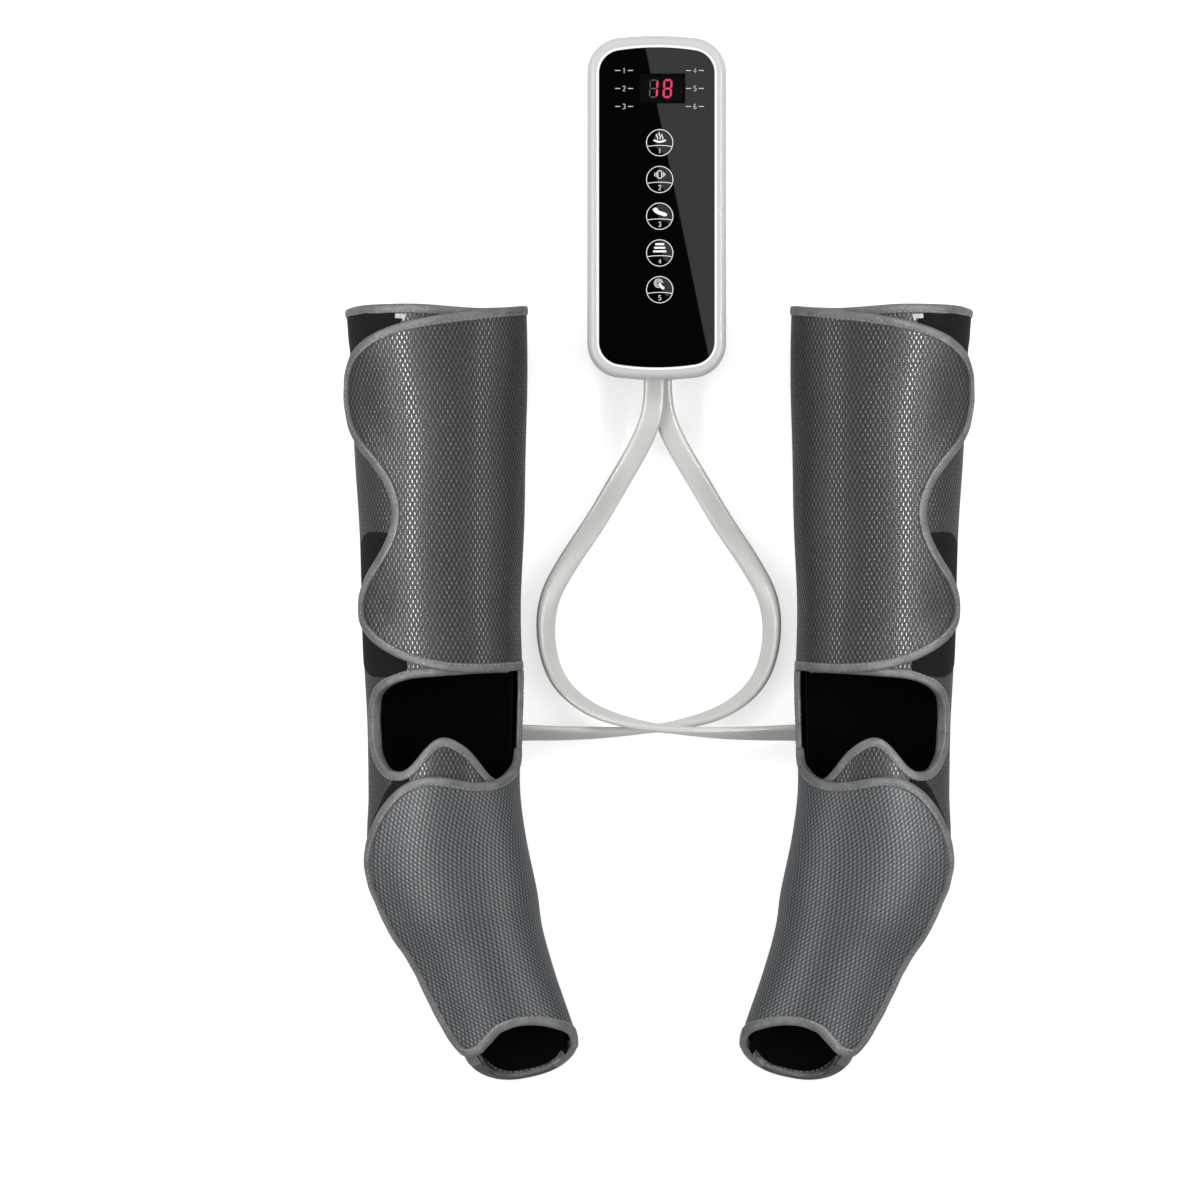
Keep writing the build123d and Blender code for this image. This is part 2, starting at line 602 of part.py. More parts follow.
def make_manifold():
    middle = MANIFOLD_START + manifold_length() / 2
    top = FLOOR_TOP + MANIFOLD_HEIGHT
    return block(MANIFOLD_WIDTH, manifold_length(), FLOOR_TOP, top, MANIFOLD_X, middle)


def make_valves():
    low = FLOOR_TOP + MANIFOLD_HEIGHT
    valves = []
    for i in range(VALVE_COUNT):
        y = MANIFOLD_START + (i + 0.5) * VALVE_PITCH
        body = block(VALVE_WIDTH, VALVE_LENGTH, low, low + VALVE_HEIGHT, MANIFOLD_X, y)
        valves.append(fillet(body.edges().filter_by(Axis.Z), VALVE_EDGE_ROUND))
    return valves


def bent_tube(points):
    path = FilletPolyline(*points, radius=AIR_TUBE_BEND)
    start = Plane(origin=path @ 0, z_dir=path % 0)
    return sweep(start * Circle(AIR_TUBE_RADIUS), path=path)


def make_inner_tubes():
    """From the pump to the manifold, and from the manifold to the two hoses."""
    z = FLOOR_TOP + MANIFOLD_HEIGHT / 2
    tip = head_end() - NIPPLE_LENGTH
    side = MANIFOLD_X + MANIFOLD_WIDTH / 2
    turn = MANIFOLD_START + VALVE_PITCH / 2
    tubes = [bent_tube([(PUMP_X, tip, PUMP_Z), (PUMP_X, tip - AIR_TUBE_LEAD, PUMP_Z),
                        (side + AIR_TUBE_LEAD, turn, z), (side, turn, z)])]
    start, end = MANIFOLD_START, GROMMET_DEPTH - CASE_END
    for outlet, hose_x, hose_z in ((-AIR_TUBE_SPREAD, HOSE_EXIT_UPPER_X, HOSE_EXIT_UPPER_Z),
                                   (AIR_TUBE_SPREAD, HOSE_EXIT_LOWER_X, HOSE_EXIT_LOWER_Z)):
        x0, x1 = MANIFOLD_X + outlet, hose_x - CONTROLLER_X
        tubes.append(bent_tube([(x0, start, z), (x0, start - AIR_TUBE_LEAD, z),
                                (x1, end + AIR_TUBE_LEAD, hose_z), (x1, end, hose_z)]))
    return tubes


def make_grommet():
    """Plug in the end wall that both hoses start from, with a wider flange inside."""
    low, high = grommet_heights()
    width = GROMMET_WIDTH - 2 * PANEL_GAP
    plug = block(width, GROMMET_DEPTH, low + PANEL_GAP, high - PANEL_GAP, 0, -CASE_END + GROMMET_DEPTH / 2)
    plug = fillet(plug.edges().filter_by(Axis.Y), GROMMET_EDGE_ROUND)
    seat = CASE_WALL + LAYER_GAP + end_drop(width / 2 + GROMMET_FLANGE)
    depth = GROMMET_DEPTH - seat
    flange = block(width + 2 * GROMMET_FLANGE, depth, low + PANEL_GAP, high - PANEL_GAP, 0,
                   -CASE_END + seat + depth / 2)
    return plug + flange


def inlet_back():
    """Inner end of the inlet's barrel, where its square body starts."""
    return CASE_END - CASE_WALL - LAYER_GAP


def make_inlet():
    outer = CASE_END - INLET_SINK
    barrel = lying_rod(INLET_BARREL_RADIUS, inlet_back(), outer, 0, INLET_Z)
    half = INLET_BODY / 2
    body = block(INLET_BODY, INLET_BODY, INLET_Z - half, INLET_Z + half, 0, inlet_back() - half)
    bore = lying_rod(INLET_BORE_RADIUS, outer - INLET_DEPTH, outer, 0, INLET_Z)
    pin = lying_rod(INLET_PIN_RADIUS, outer - INLET_DEPTH, CASE_END - PIN_SINK, 0, INLET_Z)
    return barrel + body - bore + pin


def make_inlet_post():
    """Post that carries the power inlet, standing on the rear cover's floor."""
    y = inlet_back() - INLET_BODY + POST_LENGTH / 2
    return block(INLET_BODY, POST_LENGTH, FLOOR_TOP - POST_ROOT, INLET_Z - INLET_BODY / 2, 0, y)


def build_controller():
    save("front_bezel", placed(make_bezel()))
    save("rear_cover", placed(make_rear_cover() + make_inlet_post()))
    save("touch_panel", placed(make_touch_panel()))
    save("display_window", placed(make_window()))
    save("led_display", placed(make_led_display()))
    save("display_segments", *[placed(s) for s in make_display_segments()])
    for i, (x, y) in enumerate(key_places()):
        save(f"key_{i + 1}", placed(make_key(x, y)))
    save("key_switches", *[placed(s) for s in make_key_switches()])
    save("main_circuit_board", placed(make_board()))
    save("board_components", *[placed(s) for s in make_board_components()])
    save("buzzer", placed(make_buzzer()))
    save("board_screws", *[placed(s) for s in make_board_screws()])
    save("case_screws", *[placed(s) for s in make_case_screws()])
    save("rubber_feet", *[placed(s) for s in make_feet()])
    save("pump_housing", placed(make_pump_housing()))
    save("pump_diaphragm", placed(make_pump_diaphragm()))
    save("pump_head", placed(make_pump_head()))
    save("pump_motor", placed(make_pump_motor()))
    save("pump_crank", placed(make_pump_crank()))
    save("pump_foam_mounts", *[placed(s) for s in make_foam_mounts()])
    save("air_manifold", placed(make_manifold()))
    save("solenoid_valves", *[placed(s) for s in make_valves()])
    save("inner_tubes", *[placed(s) for s in make_inner_tubes()])
    save("hose_grommet", placed(make_grommet()))
    save("dc_inlet", placed(make_inlet()))


# ---------------------------------------------------------------- hoses

def hose(name, points):
    route = [Vector(*p) for p in points]
    radii = []
    for a, b, c in zip(route, route[1:], route[2:]):
        half_turn = math.radians((b - a).get_angle(c - b)) / 2
        radii.append(0.45 * min((b - a).length, (c - b).length) / math.tan(half_turn))
    path = FilletPolyline(*route, radius=radii)
    start = Plane(origin=route[0], x_dir=(1, 0, 0), z_dir=(0, -1, 0))
    section = start * RectangleRounded(HOSE_WIDTH, HOSE_THICKNESS, HOSE_EDGE_RADIUS)
    tube = sweep(section, path=path)
    print(name, "length", round(path.length, 1), "least radius", round(min(radii), 1), "radii",
          [round(r) for r in radii], "volume share", round(tube.volume / section.area / path.length, 4))
    return tube


def build_hoses():
    save("air_hose_right", hose("air_hose_right", HOSE_RIGHT_ROUTE))
    save("air_hose_left", hose("air_hose_left", HOSE_LEFT_ROUTE))


# ---------------------------------------------------------------- sleeve surface

def column(index, down):
    """Smooth curve through one column of the section table."""
    xs = [row[0] for row in SLEEVE_SECTIONS]
    ys = [row[index] for row in SLEEVE_SECTIONS]
    last = len(xs) - 1
    i = max(j for j in range(last) if j == 0 or xs[j] <= down)

    def slope(j):
        before, after = max(j - 1, 0), min(j + 1, last)
        return (ys[after] - ys[before]) / (xs[after] - xs[before])

    h = xs[i + 1] - xs[i]
    t = (down - xs[i]) / h
    start = (2 * t**3 - 3 * t**2 + 1) * ys[i] + (t**3 - 2 * t**2 + t) * h * slope(i)
    end = (3 * t**2 - 2 * t**3) * ys[i + 1] + (t**3 - t**2) * h * slope(i + 1)
    return start + end


def section(down):
    offset, width, height, turn = (column(i, down) for i in (1, 2, 3, 4))
    return offset - SLEEVE_SPACING / 2, SLEEVE_TOP_Y - down, width, height, math.radians(turn)


def plan(down, share):
    """Point seen from above, share of the width in from the outer side."""
    x, y, width, _, turn = section(down)
    across = (share - 0.5) * width
    return x + across * math.cos(turn), y + across * math.sin(turn)


def surface(down, angle, depth):
    """Point depth inside the sleeve's outside. Angle 0 is the inner side, 90 the top."""
    x, y, width, height, turn = section(down)
    a = width / 2 - depth
    b = height / 2 - depth
    c, s = math.cos(math.radians(angle)), math.sin(math.radians(angle))
    if s >= 0:
        across, up = a * c, b * s
    else:
        power = 2 / FLOOR_FLATNESS
        across, up = math.copysign(a * abs(c) ** power, c), -b * abs(s) ** power
    return Vector(x + across * math.cos(turn), y + across * math.sin(turn), height / 2 + up)


def spread(start, end, step, end_step):
    """Evenly stepped values, with a short step at both ends that keeps the cloth's edges true."""
    inside = [k * step for k in range(math.ceil(start / step), math.floor(end / step) + 1)]
    inside = [v for v in inside if v - start > 1.5 * end_step and end - v > 1.5 * end_step]
    return [start, start + end_step] + inside + [end - end_step, end]


def sheet(first, last, depth, thickness, top, bottom):
    """Curved sheet of cloth: a lofted band round the sleeve, depth(angle) under its outside."""
    angles = spread(first, last, ANGLE_STEP, END_ANGLE)
    wires = []
    for down in spread(top, bottom, LOFT_STEP, END_STEP):
        outer = [surface(down, t, depth(t)) for t in angles]
        inner = [surface(down, t, depth(t) + thickness) for t in reversed(angles)]
        wires.append(Wire([
            Edge.make_spline(outer), Edge.make_line(outer[-1], inner[0]),
            Edge.make_spline(inner), Edge.make_line(inner[-1], outer[0]),
        ]))
    return Solid.make_loft(wires, ruled=False)


def sleeve_core(top, bottom, growth):
    """Whole sleeve as one solid, grown outwards."""
    wires = []
    for down in spread(top, bottom, LOFT_STEP, END_STEP):
        ring = [surface(down, k * ANGLE_STEP, -growth) for k in range(round(360 / ANGLE_STEP))]
        wires.append(Wire([Edge.make_spline(ring, periodic=True)]))
    return Solid.make_loft(wires, ruled=False)


def eased(value, start, end):
    t = min(max((value - start) / (end - start), 0), 1)
    return t * t * (3 - 2 * t)


def underlap_depth():
    return FLAP_THICKNESS + LINING_THICKNESS + HOOK_THICKNESS + 2 * LAYER_GAP + HOOK_LAP


def panel_depth(angle):
    """The back panel lies under the flap on top and comes out to full size underneath."""
    return underlap_depth() * (1 - eased(angle, UNDERLAP_FULL, UNDERLAP_NONE))


def lining_depth(angle):
    """The lining follows the panel, and makes room for the air bags at the back."""
    bag_room = (AIRBAG_THICKNESS + LAYER_GAP) * eased(angle, UNDERLAP_FULL - 2 * ANGLE_STEP, UNDERLAP_FULL)
    return panel_depth(angle) + FABRIC_THICKNESS + LAYER_GAP + bag_room


def bag_depth(angle):
    return panel_depth(angle) + FABRIC_THICKNESS + LAYER_GAP


def heater_depth(angle):
    return bag_depth(angle) + AIRBAG_THICKNESS - HEATER_THICKNESS


def hook_depth(angle):
    return panel_depth(angle) - HOOK_LAP - HOOK_THICKNESS


def flap_depth(angle):
    return 0.0


def flap_lining_depth(angle):
    return FLAP_THICKNESS + LAYER_GAP


# ---------------------------------------------------------------- cutters

def upper_cutter(curves, low=CUT_LOW):
    """Upright prism over a closed outline made of smooth curves joined by straight lines."""
    edges = []
    for points in curves:
        outline = [plan(*p) for p in points]
        if len(outline) == 2:
            edges.append(Edge.make_line(*outline))
        else:
            edges.append(Edge.make_spline([Vector(*p) for p in outline]))
    return prism(Face(Wire(edges)), low, CUT_HIGH)


def calf_flap_cutter():
    edge = CALF_FLAP_EDGE
    corner_low, corner_high = (edge[-1][0], 1 + CUT_SIDE), (edge[0][0], 1 + CUT_SIDE)
    return upper_cutter([edge, [edge[-1], corner_low], [corner_low, corner_high], [corner_high, edge[0]]])


def foot_flap_cutter():
    edge = FOOT_FLAP_EDGE
    outer_toe, inner_toe = (SLEEVE_END, -CUT_SIDE), (SLEEVE_END, 1 + CUT_SIDE)
    corners = [edge[-1], outer_toe, inner_toe, (edge[0][0], 1 + CUT_SIDE), edge[0]]
    return upper_cutter([edge] + [list(pair) for pair in zip(corners, corners[1:])])


def heel_cutter():
    side = [HEEL_LOWER_RIM[-1], HEEL_UPPER_RIM[0]]
    return upper_cutter([HEEL_UPPER_RIM, HEEL_LOWER_RIM, side], HEEL_FLOOR)


def toe_cutter():
    """Everything past the slanted plane of the toe opening."""
    x, y, _, height, _ = section(TOE_DOWN)
    turn, slant = math.radians(TOE_TURN), math.radians(TOE_SLANT)
    normal = (math.cos(slant) * math.sin(turn), -math.cos(slant) * math.cos(turn), math.sin(slant))
    beyond = Box(TOE_CUT_SIZE, TOE_CUT_SIZE, TOE_CUT_SIZE, align=(Align.CENTER, Align.CENTER, Align.MIN))
    return Plane(origin=(x, y, height / 2), z_dir=normal) * beyond


def patch_cutter(top, bottom, inner_share, radius):
    x_out, y_top = plan(top, -CUT_SIDE)
    x_in, y_low = plan(bottom, inner_share)
    face = RectangleRounded(x_in - x_out, y_top - y_low, radius)
    return prism(Pos((x_in + x_out) / 2, (y_top + y_low) / 2) * face, CUT_LOW, CUT_HIGH)


# ---------------------------------------------------------------- sleeve pieces

def make_panels():
    """Back panel and its lining: open on top for the heel, cut slanting at the toes."""
    toe, heel = toe_cutter(), heel_cutter()
    panel = sheet(UNDERLAP_START, 360, panel_depth, FABRIC_THICKNESS, 0, SLEEVE_END)
    lining = sheet(UNDERLAP_START, 360, lining_depth, LINING_THICKNESS, 0, SLEEVE_END)
    return panel - toe - heel, lining - toe - heel


def make_calf_flap():
    cutter = calf_flap_cutter()
    cover = sheet(FLAP_START, FLAP_END, flap_depth, FLAP_THICKNESS, 0, FLAP_REACH)
    lining = sheet(FLAP_START, FLAP_END, flap_lining_depth, LINING_THICKNESS, 0, FLAP_REACH)
    return cover & cutter, lining & cutter


def make_foot_flap():
    cutter = foot_flap_cutter() - toe_cutter()
    cover = sheet(FLAP_START, FLAP_END, flap_depth, FLAP_THICKNESS, 0, SLEEVE_END)
    lining = sheet(FLAP_START, FLAP_END, flap_lining_depth, LINING_THICKNESS, 0, SLEEVE_END)
    return cover & cutter, lining & cutter


def make_hook_patches():
    strip = sheet(HOOKS_FROM, HOOKS_TO, hook_depth, HOOK_THICKNESS, 0, SLEEVE_END)
    solids = []
    for patch in HOOK_PATCHES:
        solids.extend((strip & patch_cutter(*patch)).solids())
    return solids


def vibrator_place():
    x, y, _, _, _ = section(VIBRATOR_DOWN)
    return x, y, FABRIC_THICKNESS + LAYER_GAP


def make_sole_layers():
    """Air bag and heating film under the foot, with a well for the vibration motor."""
    x, y, _ = vibrator_place()
    top, bottom = SOLE_BAG
    stretch = block(SLEEVE_SPACING, bottom - top, 0, CUT_LOW, x, SLEEVE_TOP_Y - (top + bottom) / 2)
    stretch -= rod(VIBRATOR_RADIUS + LAYER_GAP, 0, CUT_LOW, x, y)
    bag = sheet(SOLE_FROM, SOLE_TO, bag_depth, SOLE_AIRBAG_THICKNESS, 0, SLEEVE_END)
    heater = sheet(SOLE_FROM, SOLE_TO, heater_depth, HEATER_THICKNESS, 0, SLEEVE_END)
    return bag & stretch, heater & stretch


def make_vibrator():
    """Flat vibration motor in the sole, and the half round weight that spins in it."""
    x, y, z = vibrator_place()
    top = z + AIRBAG_THICKNESS
    case = rod(VIBRATOR_RADIUS, z, top, x, y)
    case -= rod(VIBRATOR_RADIUS - VIBRATOR_WALL, z + VIBRATOR_WALL, top - VIBRATOR_WALL, x, y)
    case += rod(WEIGHT_PIN_RADIUS, z, top, x, y)
    low, high = z + VIBRATOR_WALL + WEIGHT_GAP, top - VIBRATOR_WALL - WEIGHT_GAP
    cut_y = y - WEIGHT_PIN_RADIUS - WEIGHT_HUB - WEIGHT_RADIUS / 2
    weight = rod(WEIGHT_RADIUS, low, high, x, y)
    weight -= block(2 * WEIGHT_RADIUS, WEIGHT_RADIUS, low, high, x, cut_y)
    weight -= rod(WEIGHT_PIN_RADIUS + PIN_CLEARANCE, low, high, x, y)
    return case, weight


def make_port():
    """Hose socket, glued to the outside of the ankle's inner side."""
    low = PORT_Z - PORT_HEIGHT / 2
    body = block(PORT_DEPTH, PORT_WIDTH, low, low + PORT_HEIGHT, -PORT_X - PORT_DEPTH / 2, PORT_Y)
    body = fillet(body.edges().filter_by(Axis.X), PORT_EDGE_ROUND)
    return body - sleeve_core(PORT_DOWN - PORT_WIDTH, PORT_DOWN + PORT_WIDTH, LAYER_GAP)


def hinge_line(downs, outset):
    ends = []
    for down in downs:
        x, y = plan(down, 1.0)
        height = section(down)[3]
        ends.append(Vector(x + outset, y, height / 2 - HINGE_DROP))
    axis = (ends[0] - ends[1]).normalized()
    return ends[0], axis


def build_sleeves():
    panel, lining = make_panels()
    calf_flap, calf_lining = make_calf_flap()
    foot_flap, foot_lining = make_foot_flap()
    sole_bag, heater = make_sole_layers()
    vibrator, weight = make_vibrator()
    pieces = {
        "back_panel": [panel], "back_lining": [lining],
        "calf_flap": [calf_flap], "calf_flap_lining": [calf_lining],
        "foot_flap": [foot_flap], "foot_flap_lining": [foot_lining],
        "foot_airbag": [sole_bag], "heating_pad": [heater],
        "vibration_motor": [vibrator], "vibration_weight": [weight],
        "hook_patches": make_hook_patches(), "air_port": [make_port()],
    }
    for name, top, bottom in CALF_BAGS:
        pieces[name] = [sheet(AIRBAG_FROM, AIRBAG_TO, bag_depth, AIRBAG_THICKNESS, top, bottom)]
    for name, solids in pieces.items():
        save(name + "_left", *solids)
        save(name + "_right", *[mirror(s, about=Plane.YZ) for s in solids])


build_controller()
build_hoses()
build_sleeves()

# Places that the joints and mounts use
for name, downs, outset in (("calf", CALF_HINGE_DOWN, CALF_HINGE_OUTSET),
                            ("foot", FOOT_HINGE_DOWN, FOOT_HINGE_OUTSET)):
    point, direction = hinge_line(downs, outset)
    print(name, "flap hinge", [round(v, 2) for v in point], [round(v, 5) for v in direction])
print("crank", CONTROLLER_X + PUMP_X, round(PUMP_Z, 2), "weight", [round(v, 2) for v in vibrator_place()])
pin_end = CONTROLLER_Y + CASE_END - PIN_SINK
print("power pin from", round(CONTROLLER_Y + CASE_END - INLET_SINK - INLET_DEPTH, 2), "to", round(pin_end, 2))
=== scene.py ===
import json
import math

import bmesh
import bpy
import numpy as np
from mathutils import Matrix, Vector, geometry

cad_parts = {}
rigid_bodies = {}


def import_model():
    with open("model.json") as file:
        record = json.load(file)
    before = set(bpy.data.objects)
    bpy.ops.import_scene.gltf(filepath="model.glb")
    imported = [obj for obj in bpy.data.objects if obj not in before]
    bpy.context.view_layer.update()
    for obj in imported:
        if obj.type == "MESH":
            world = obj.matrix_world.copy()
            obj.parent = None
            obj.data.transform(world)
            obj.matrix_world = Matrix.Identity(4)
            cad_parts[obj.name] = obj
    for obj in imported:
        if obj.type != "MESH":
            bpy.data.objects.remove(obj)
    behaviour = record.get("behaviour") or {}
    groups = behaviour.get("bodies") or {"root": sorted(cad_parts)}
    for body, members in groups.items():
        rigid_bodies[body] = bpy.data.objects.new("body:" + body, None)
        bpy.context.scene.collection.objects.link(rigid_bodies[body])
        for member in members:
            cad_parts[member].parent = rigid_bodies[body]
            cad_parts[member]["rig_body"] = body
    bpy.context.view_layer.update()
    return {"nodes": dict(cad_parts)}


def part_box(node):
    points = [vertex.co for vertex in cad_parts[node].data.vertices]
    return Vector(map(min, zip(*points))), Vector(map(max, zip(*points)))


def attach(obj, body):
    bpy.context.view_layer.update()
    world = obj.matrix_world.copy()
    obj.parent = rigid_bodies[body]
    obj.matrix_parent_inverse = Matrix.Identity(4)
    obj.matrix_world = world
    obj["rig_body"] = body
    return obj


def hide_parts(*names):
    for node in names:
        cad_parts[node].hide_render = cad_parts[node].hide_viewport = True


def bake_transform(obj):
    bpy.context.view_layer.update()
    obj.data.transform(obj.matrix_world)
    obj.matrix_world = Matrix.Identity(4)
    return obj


# Looks of a leg compression massager: a pump controller, two flat hoses and a pair of leg wraps.
# Lengths are in millimetres up to the moment that a mesh is made, and in metres from there on.
# A wrap is drawn as the left one; the right one is its mirror image.

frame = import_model()
MM = 0.001
SIDES = (("left", 1), ("right", -1))
CLOTH_CREASE, CASE_CREASE, PRINT_CREASE = 50, 32, 30   # degrees past which an edge is drawn sharp
FLAT_WITHIN = 0.3              # degrees between faces that are made one
SAME_POINT = 0.002             # corners of a CAD mesh that are nearer than this are one

# ---------------------------------------------------------------- sizes of the controller
PANEL_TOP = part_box("touch_panel")[1][2] / MM
LED_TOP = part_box("led_display")[1][2] / MM
RIM_WIDTH = 1.5                # of the lip round the panel, painted near-white as a highlight
RIM_RISE = 0.12                # over the bezel's crest
RIM_GAP = 0.2                  # between the panel's edge and the lip
INK = 0.05                     # thickness of the printing
INK_SINK = 0.02                # how far it reaches into the panel
KEY_COUNT = 5
RING_RADIUS, RING_LINE = 8.55, 0.43
DIVIDER_DROP = 2.2             # of the arc across a key, below the key's middle
DIVIDER_SINK, DIVIDER_RISE = 0.3, 0.75   # of the arc's ends, and of its middle over them
DIVIDER_LINE = 0.42
KEY_NUMERAL_DROP = 5.3
KEY_NUMERAL, MARK_NUMERAL = (3.0, 0.40), (3.3, 0.42)   # height, and width of the line
MARK_COLUMNS = ((-22.7, 1), (23.4, 4))   # places across, with the first numeral of each
MARK_PITCH = 11.7              # of the numbered marks beside the display
MARK_DASH = (3.4, 0.55, 0.2)   # length, width and corner of the dash on both sides of a numeral
MARK_DASH_OFF = 4.2
DIGIT_WIDTH, DIGIT_HEIGHT, DIGIT_STROKE = 6.0, 12.4, 1.35
DIGITS_X = (-4.0, 5.1)         # middles of the tens and the ones, from the key column
DIGIT_SLANT = 0.06
BAR_GAP = 0.22                 # at each end of a digit's bar
LIT_RISE, UNLIT_RISE = 0.2, 0.1
UNLIT_ACROSS, UNLIT_ALONG = 0.42, 0.95   # share that an unlit bar shows of its size

# ---------------------------------------------------------------- sizes of the wraps
SLEEVE_SPACING = 283.4         # between the wraps' middles
SLEEVE_TOP_Y = 165.0
# Distance down from the top rim, sideways offset, width, height and turn of the sections
SLEEVE_SECTIONS = np.array([
    (-4.0, -5.5, 121.5, 98.8, 0.0),
    (61.0, -3.2, 118.3, 96.2, 0.0),
    (126.0, -2.3, 113.8, 93.6, 0.0),
    (191.0, -2.0, 109.2, 91.0, 0.0),
    (238.0, -0.7, 106.6, 89.0, 0.0),
    (275.6, -0.5, 103.1, 87.8, 0.0),
    (314.6, 0.0, 102.7, 87.1, 3.0),
    (353.6, 2.0, 109.0, 83.2, 8.5),
    (392.0, 13.0, 102.3, 78.0, 12.0),
    (415.0, 22.4, 90.4, 72.8, 15.0),
    (443.5, 33.5, 84.1, 67.6, 15.0),
    (481.0, 49.7, 76.0, 61.8, 15.0),
    (510.0, 59.1, 71.5, 57.2, 15.0),
    (530.0, 65.6, 68.5, 53.5, 15.0),
])
FLOOR_FLATNESS = 2.5           # exponent of the sections' lower half; 2 is an ellipse
SLEEVE_END = 528.0
SLEEVE_WIDTH = 110.0           # about; it evens out the two directions of an edge's curve
FABRIC, FLAP, LINING, HOOK = 2.5, 2.2, 1.0, 0.55   # thickness of the layers
LAYER_GAP = 0.3
UNDERLAP_DEPTH = 4.65          # of the panel where it lies under the flaps
UNDERLAP_END = (180.0, 270.0)  # angles over which it comes out from under them
BAG_ROOM = 3.3                 # for the air bags between panel and lining
BAG_START, BAG_END = (135.0, 180.0), (326.0, 345.0)   # angles over which the room opens, and closes
HOOK_SINK = 0.08               # of the hook patches into the panel
CLOTH_MESH, LINING_MESH, LABEL_MESH = 3.4, 4.2, 1.2   # distance between a mesh's points
PINCH, PINCH_REACH = 0.35, (2.0, 9.0)   # how far the cloth sinks at its tape, and where it comes up
PATCH_CORNER, LABEL_CORNER = 1.2, 0.4
TOE_DOWN, TOE_TURN, TOE_SLANT = 482.0, 12.0, 34.0   # of the cut: place, turn seen from above, and slant
TOE_NEAREST = 420.0            # all of the toe edge lies beyond this
TOE_CORNER, UNDERLAP_CORNER, HEEL_CORNER = 26.0, 7.0, 4.5
PAINTED_SHADE_TAPE_ANGLES = (304.0, 194.0)   # the toe edge's part under the sole, whose tape is darkened as painted shade
CALF_END = 237.0               # bottom of the calf's part, where the heel opening starts
FOOT_START = 303.0             # the foot flap's cloth joins the panel from here on
HINGE_ANGLE = -15.0            # the flaps' cloth goes on to here, under the inner side
BEND_INSET = 5.0               # degrees of a fold that stay stiff at each side
UNDERLAP_ANGLE = 22.5          # of the panel's edge below the flaps
EDGE_ANGLE = 165.0             # furthest angle that a flap's free edge reaches
LIMIT_SOFTNESS = 8.0           # degrees before it over which an edge slows down
HOOK_END_ANGLE = 178.0         # furthest angle that a hook patch reaches
BEYOND_TURN = 60.0             # degrees that a point goes on round for each half width past the side
FLARE = 3.2                    # how far a flap's free edge stands off
FLARE_REACH = 22.0
FLARE_ANGLES = (108.0, 150.0)  # over which the standing off grows to the full
GRAIN = 0.93                   # millimetres of pattern per degree round the sleeve
LEAST_GAP = 0.35               # between two points of an outline

# Edges of the flaps and of the heel opening: distance down, and share of the width from the outer side
CALF_FLAP_EDGE = [
    (0.5, 1.0), (4.5, 0.70), (10.4, 0.374), (23.0, 0.135), (52.0, 0.010), (86.0, 0.052),
    (108.0, 0.170), (132.0, 0.245), (158.0, 0.187), (180.0, 0.075), (204.0, 0.048),
    (223.0, 0.175), (234.7, 0.44), (237.4, 0.80), (236.0, 1.0),
]
FOOT_FLAP_EDGE = [
    (288.0, 1.0), (299.0, 0.985), (306.5, 0.928), (311.0, 0.78), (307.2, 0.55), (306.6, 0.36),
    (314.0, 0.215), (323.0, 0.14), (337.0, 0.08), (352.0, 0.04), (368.0, 0.02),
]
HEEL_UPPER_RIM = [
    (237.2, 0.99), (238.0, 0.757), (240.2, 0.445), (245.0, 0.21), (253.0, 0.115), (270.0, 0.072),
    (292.0, 0.096), (301.0, 0.16),
]
HEEL_LOWER_RIM = [
    (301.0, 0.16), (302.0, 0.25), (290.5, 0.385), (280.8, 0.515), (284.4, 0.625), (296.0, 0.745),
    (309.0, 0.85), (312.0, 0.99),
]
# Outlines of the hook patches, and of the label tab under the top rim, given as the edges are
CALF_PATCH = [
    (3.6, 0.33), (3.6, 0.05), (8.0, 0.02), (24.0, 0.02), (31.0, 0.05), (33.0, 0.14), (33.0, 0.33),
]
LOW_PATCH = [
    (146.8, 0.27), (146.8, 0.135), (147.3, 0.088), (150.2, 0.057), (156.4, 0.04), (226.0, 0.035),
    (233.7, 0.04), (238.3, 0.067), (241.2, 0.11), (241.2, 0.18), (240.0, 0.26), (236.7, 0.308), (231.0, 0.30),
]
HEEL_PATCH = [(304.5, 0.30), (304.5, 0.235), (306.5, 0.206), (314.0, 0.146), (323.0, 0.107), (332.0, 0.07),
              (345.0, 0.045), (356.0, 0.05), (358.0, 0.12), (350.0, 0.31)]
LABEL_TAB = [(5.4, 0.30), (8.7, 0.30), (8.7, 0.357), (5.4, 0.357)]
# The panel's top rim: angle, and distance down
TOP_RIM = [(22.5, 3.0), (60.0, 2.2), (80.0, 1.0), (100.0, -0.3), (120.0, -0.3), (145.0, 0.4), (165.0, 1.8),
           (180.0, 2.6), (225.0, 2.2), (290.0, 1.2), (345.0, 0.5)]
# How far the foot flap reaches past the slanting cut at the toes: angle, and distance
TOE_LAP = [(-15.0, 1.0), (15.0, 4.2), (38.0, 6.4), (58.0, 7.0), (82.0, 7.6), (100.0, 9.2), (113.0, 12.4),
           (127.0, 14.8), (150.0, 12.5), (165.0, 8.5)]

# Binding tape: its cross-section in from the cloth's edge, and the height over the cloth's middle
TAPE_SECTION = [
    (-0.7, 0.0), (-0.6, 0.5), (-0.25, 0.84), (0.5, 1.0), (1.7, 1.05), (3.4, 1.03), (4.8, 0.97),
    (5.35, 0.86), (5.5, 0.5),
]
TAPE_RISE = 0.7                # of the tape over the cloth
TAPE_STEP = 1.6                # between its cross-sections
STITCH_PITCH, STITCH_LENGTH, STITCH_THICKNESS = 3.5, 2.3, 0.5
STITCH_INSET = 4.5             # from the cloth's edge

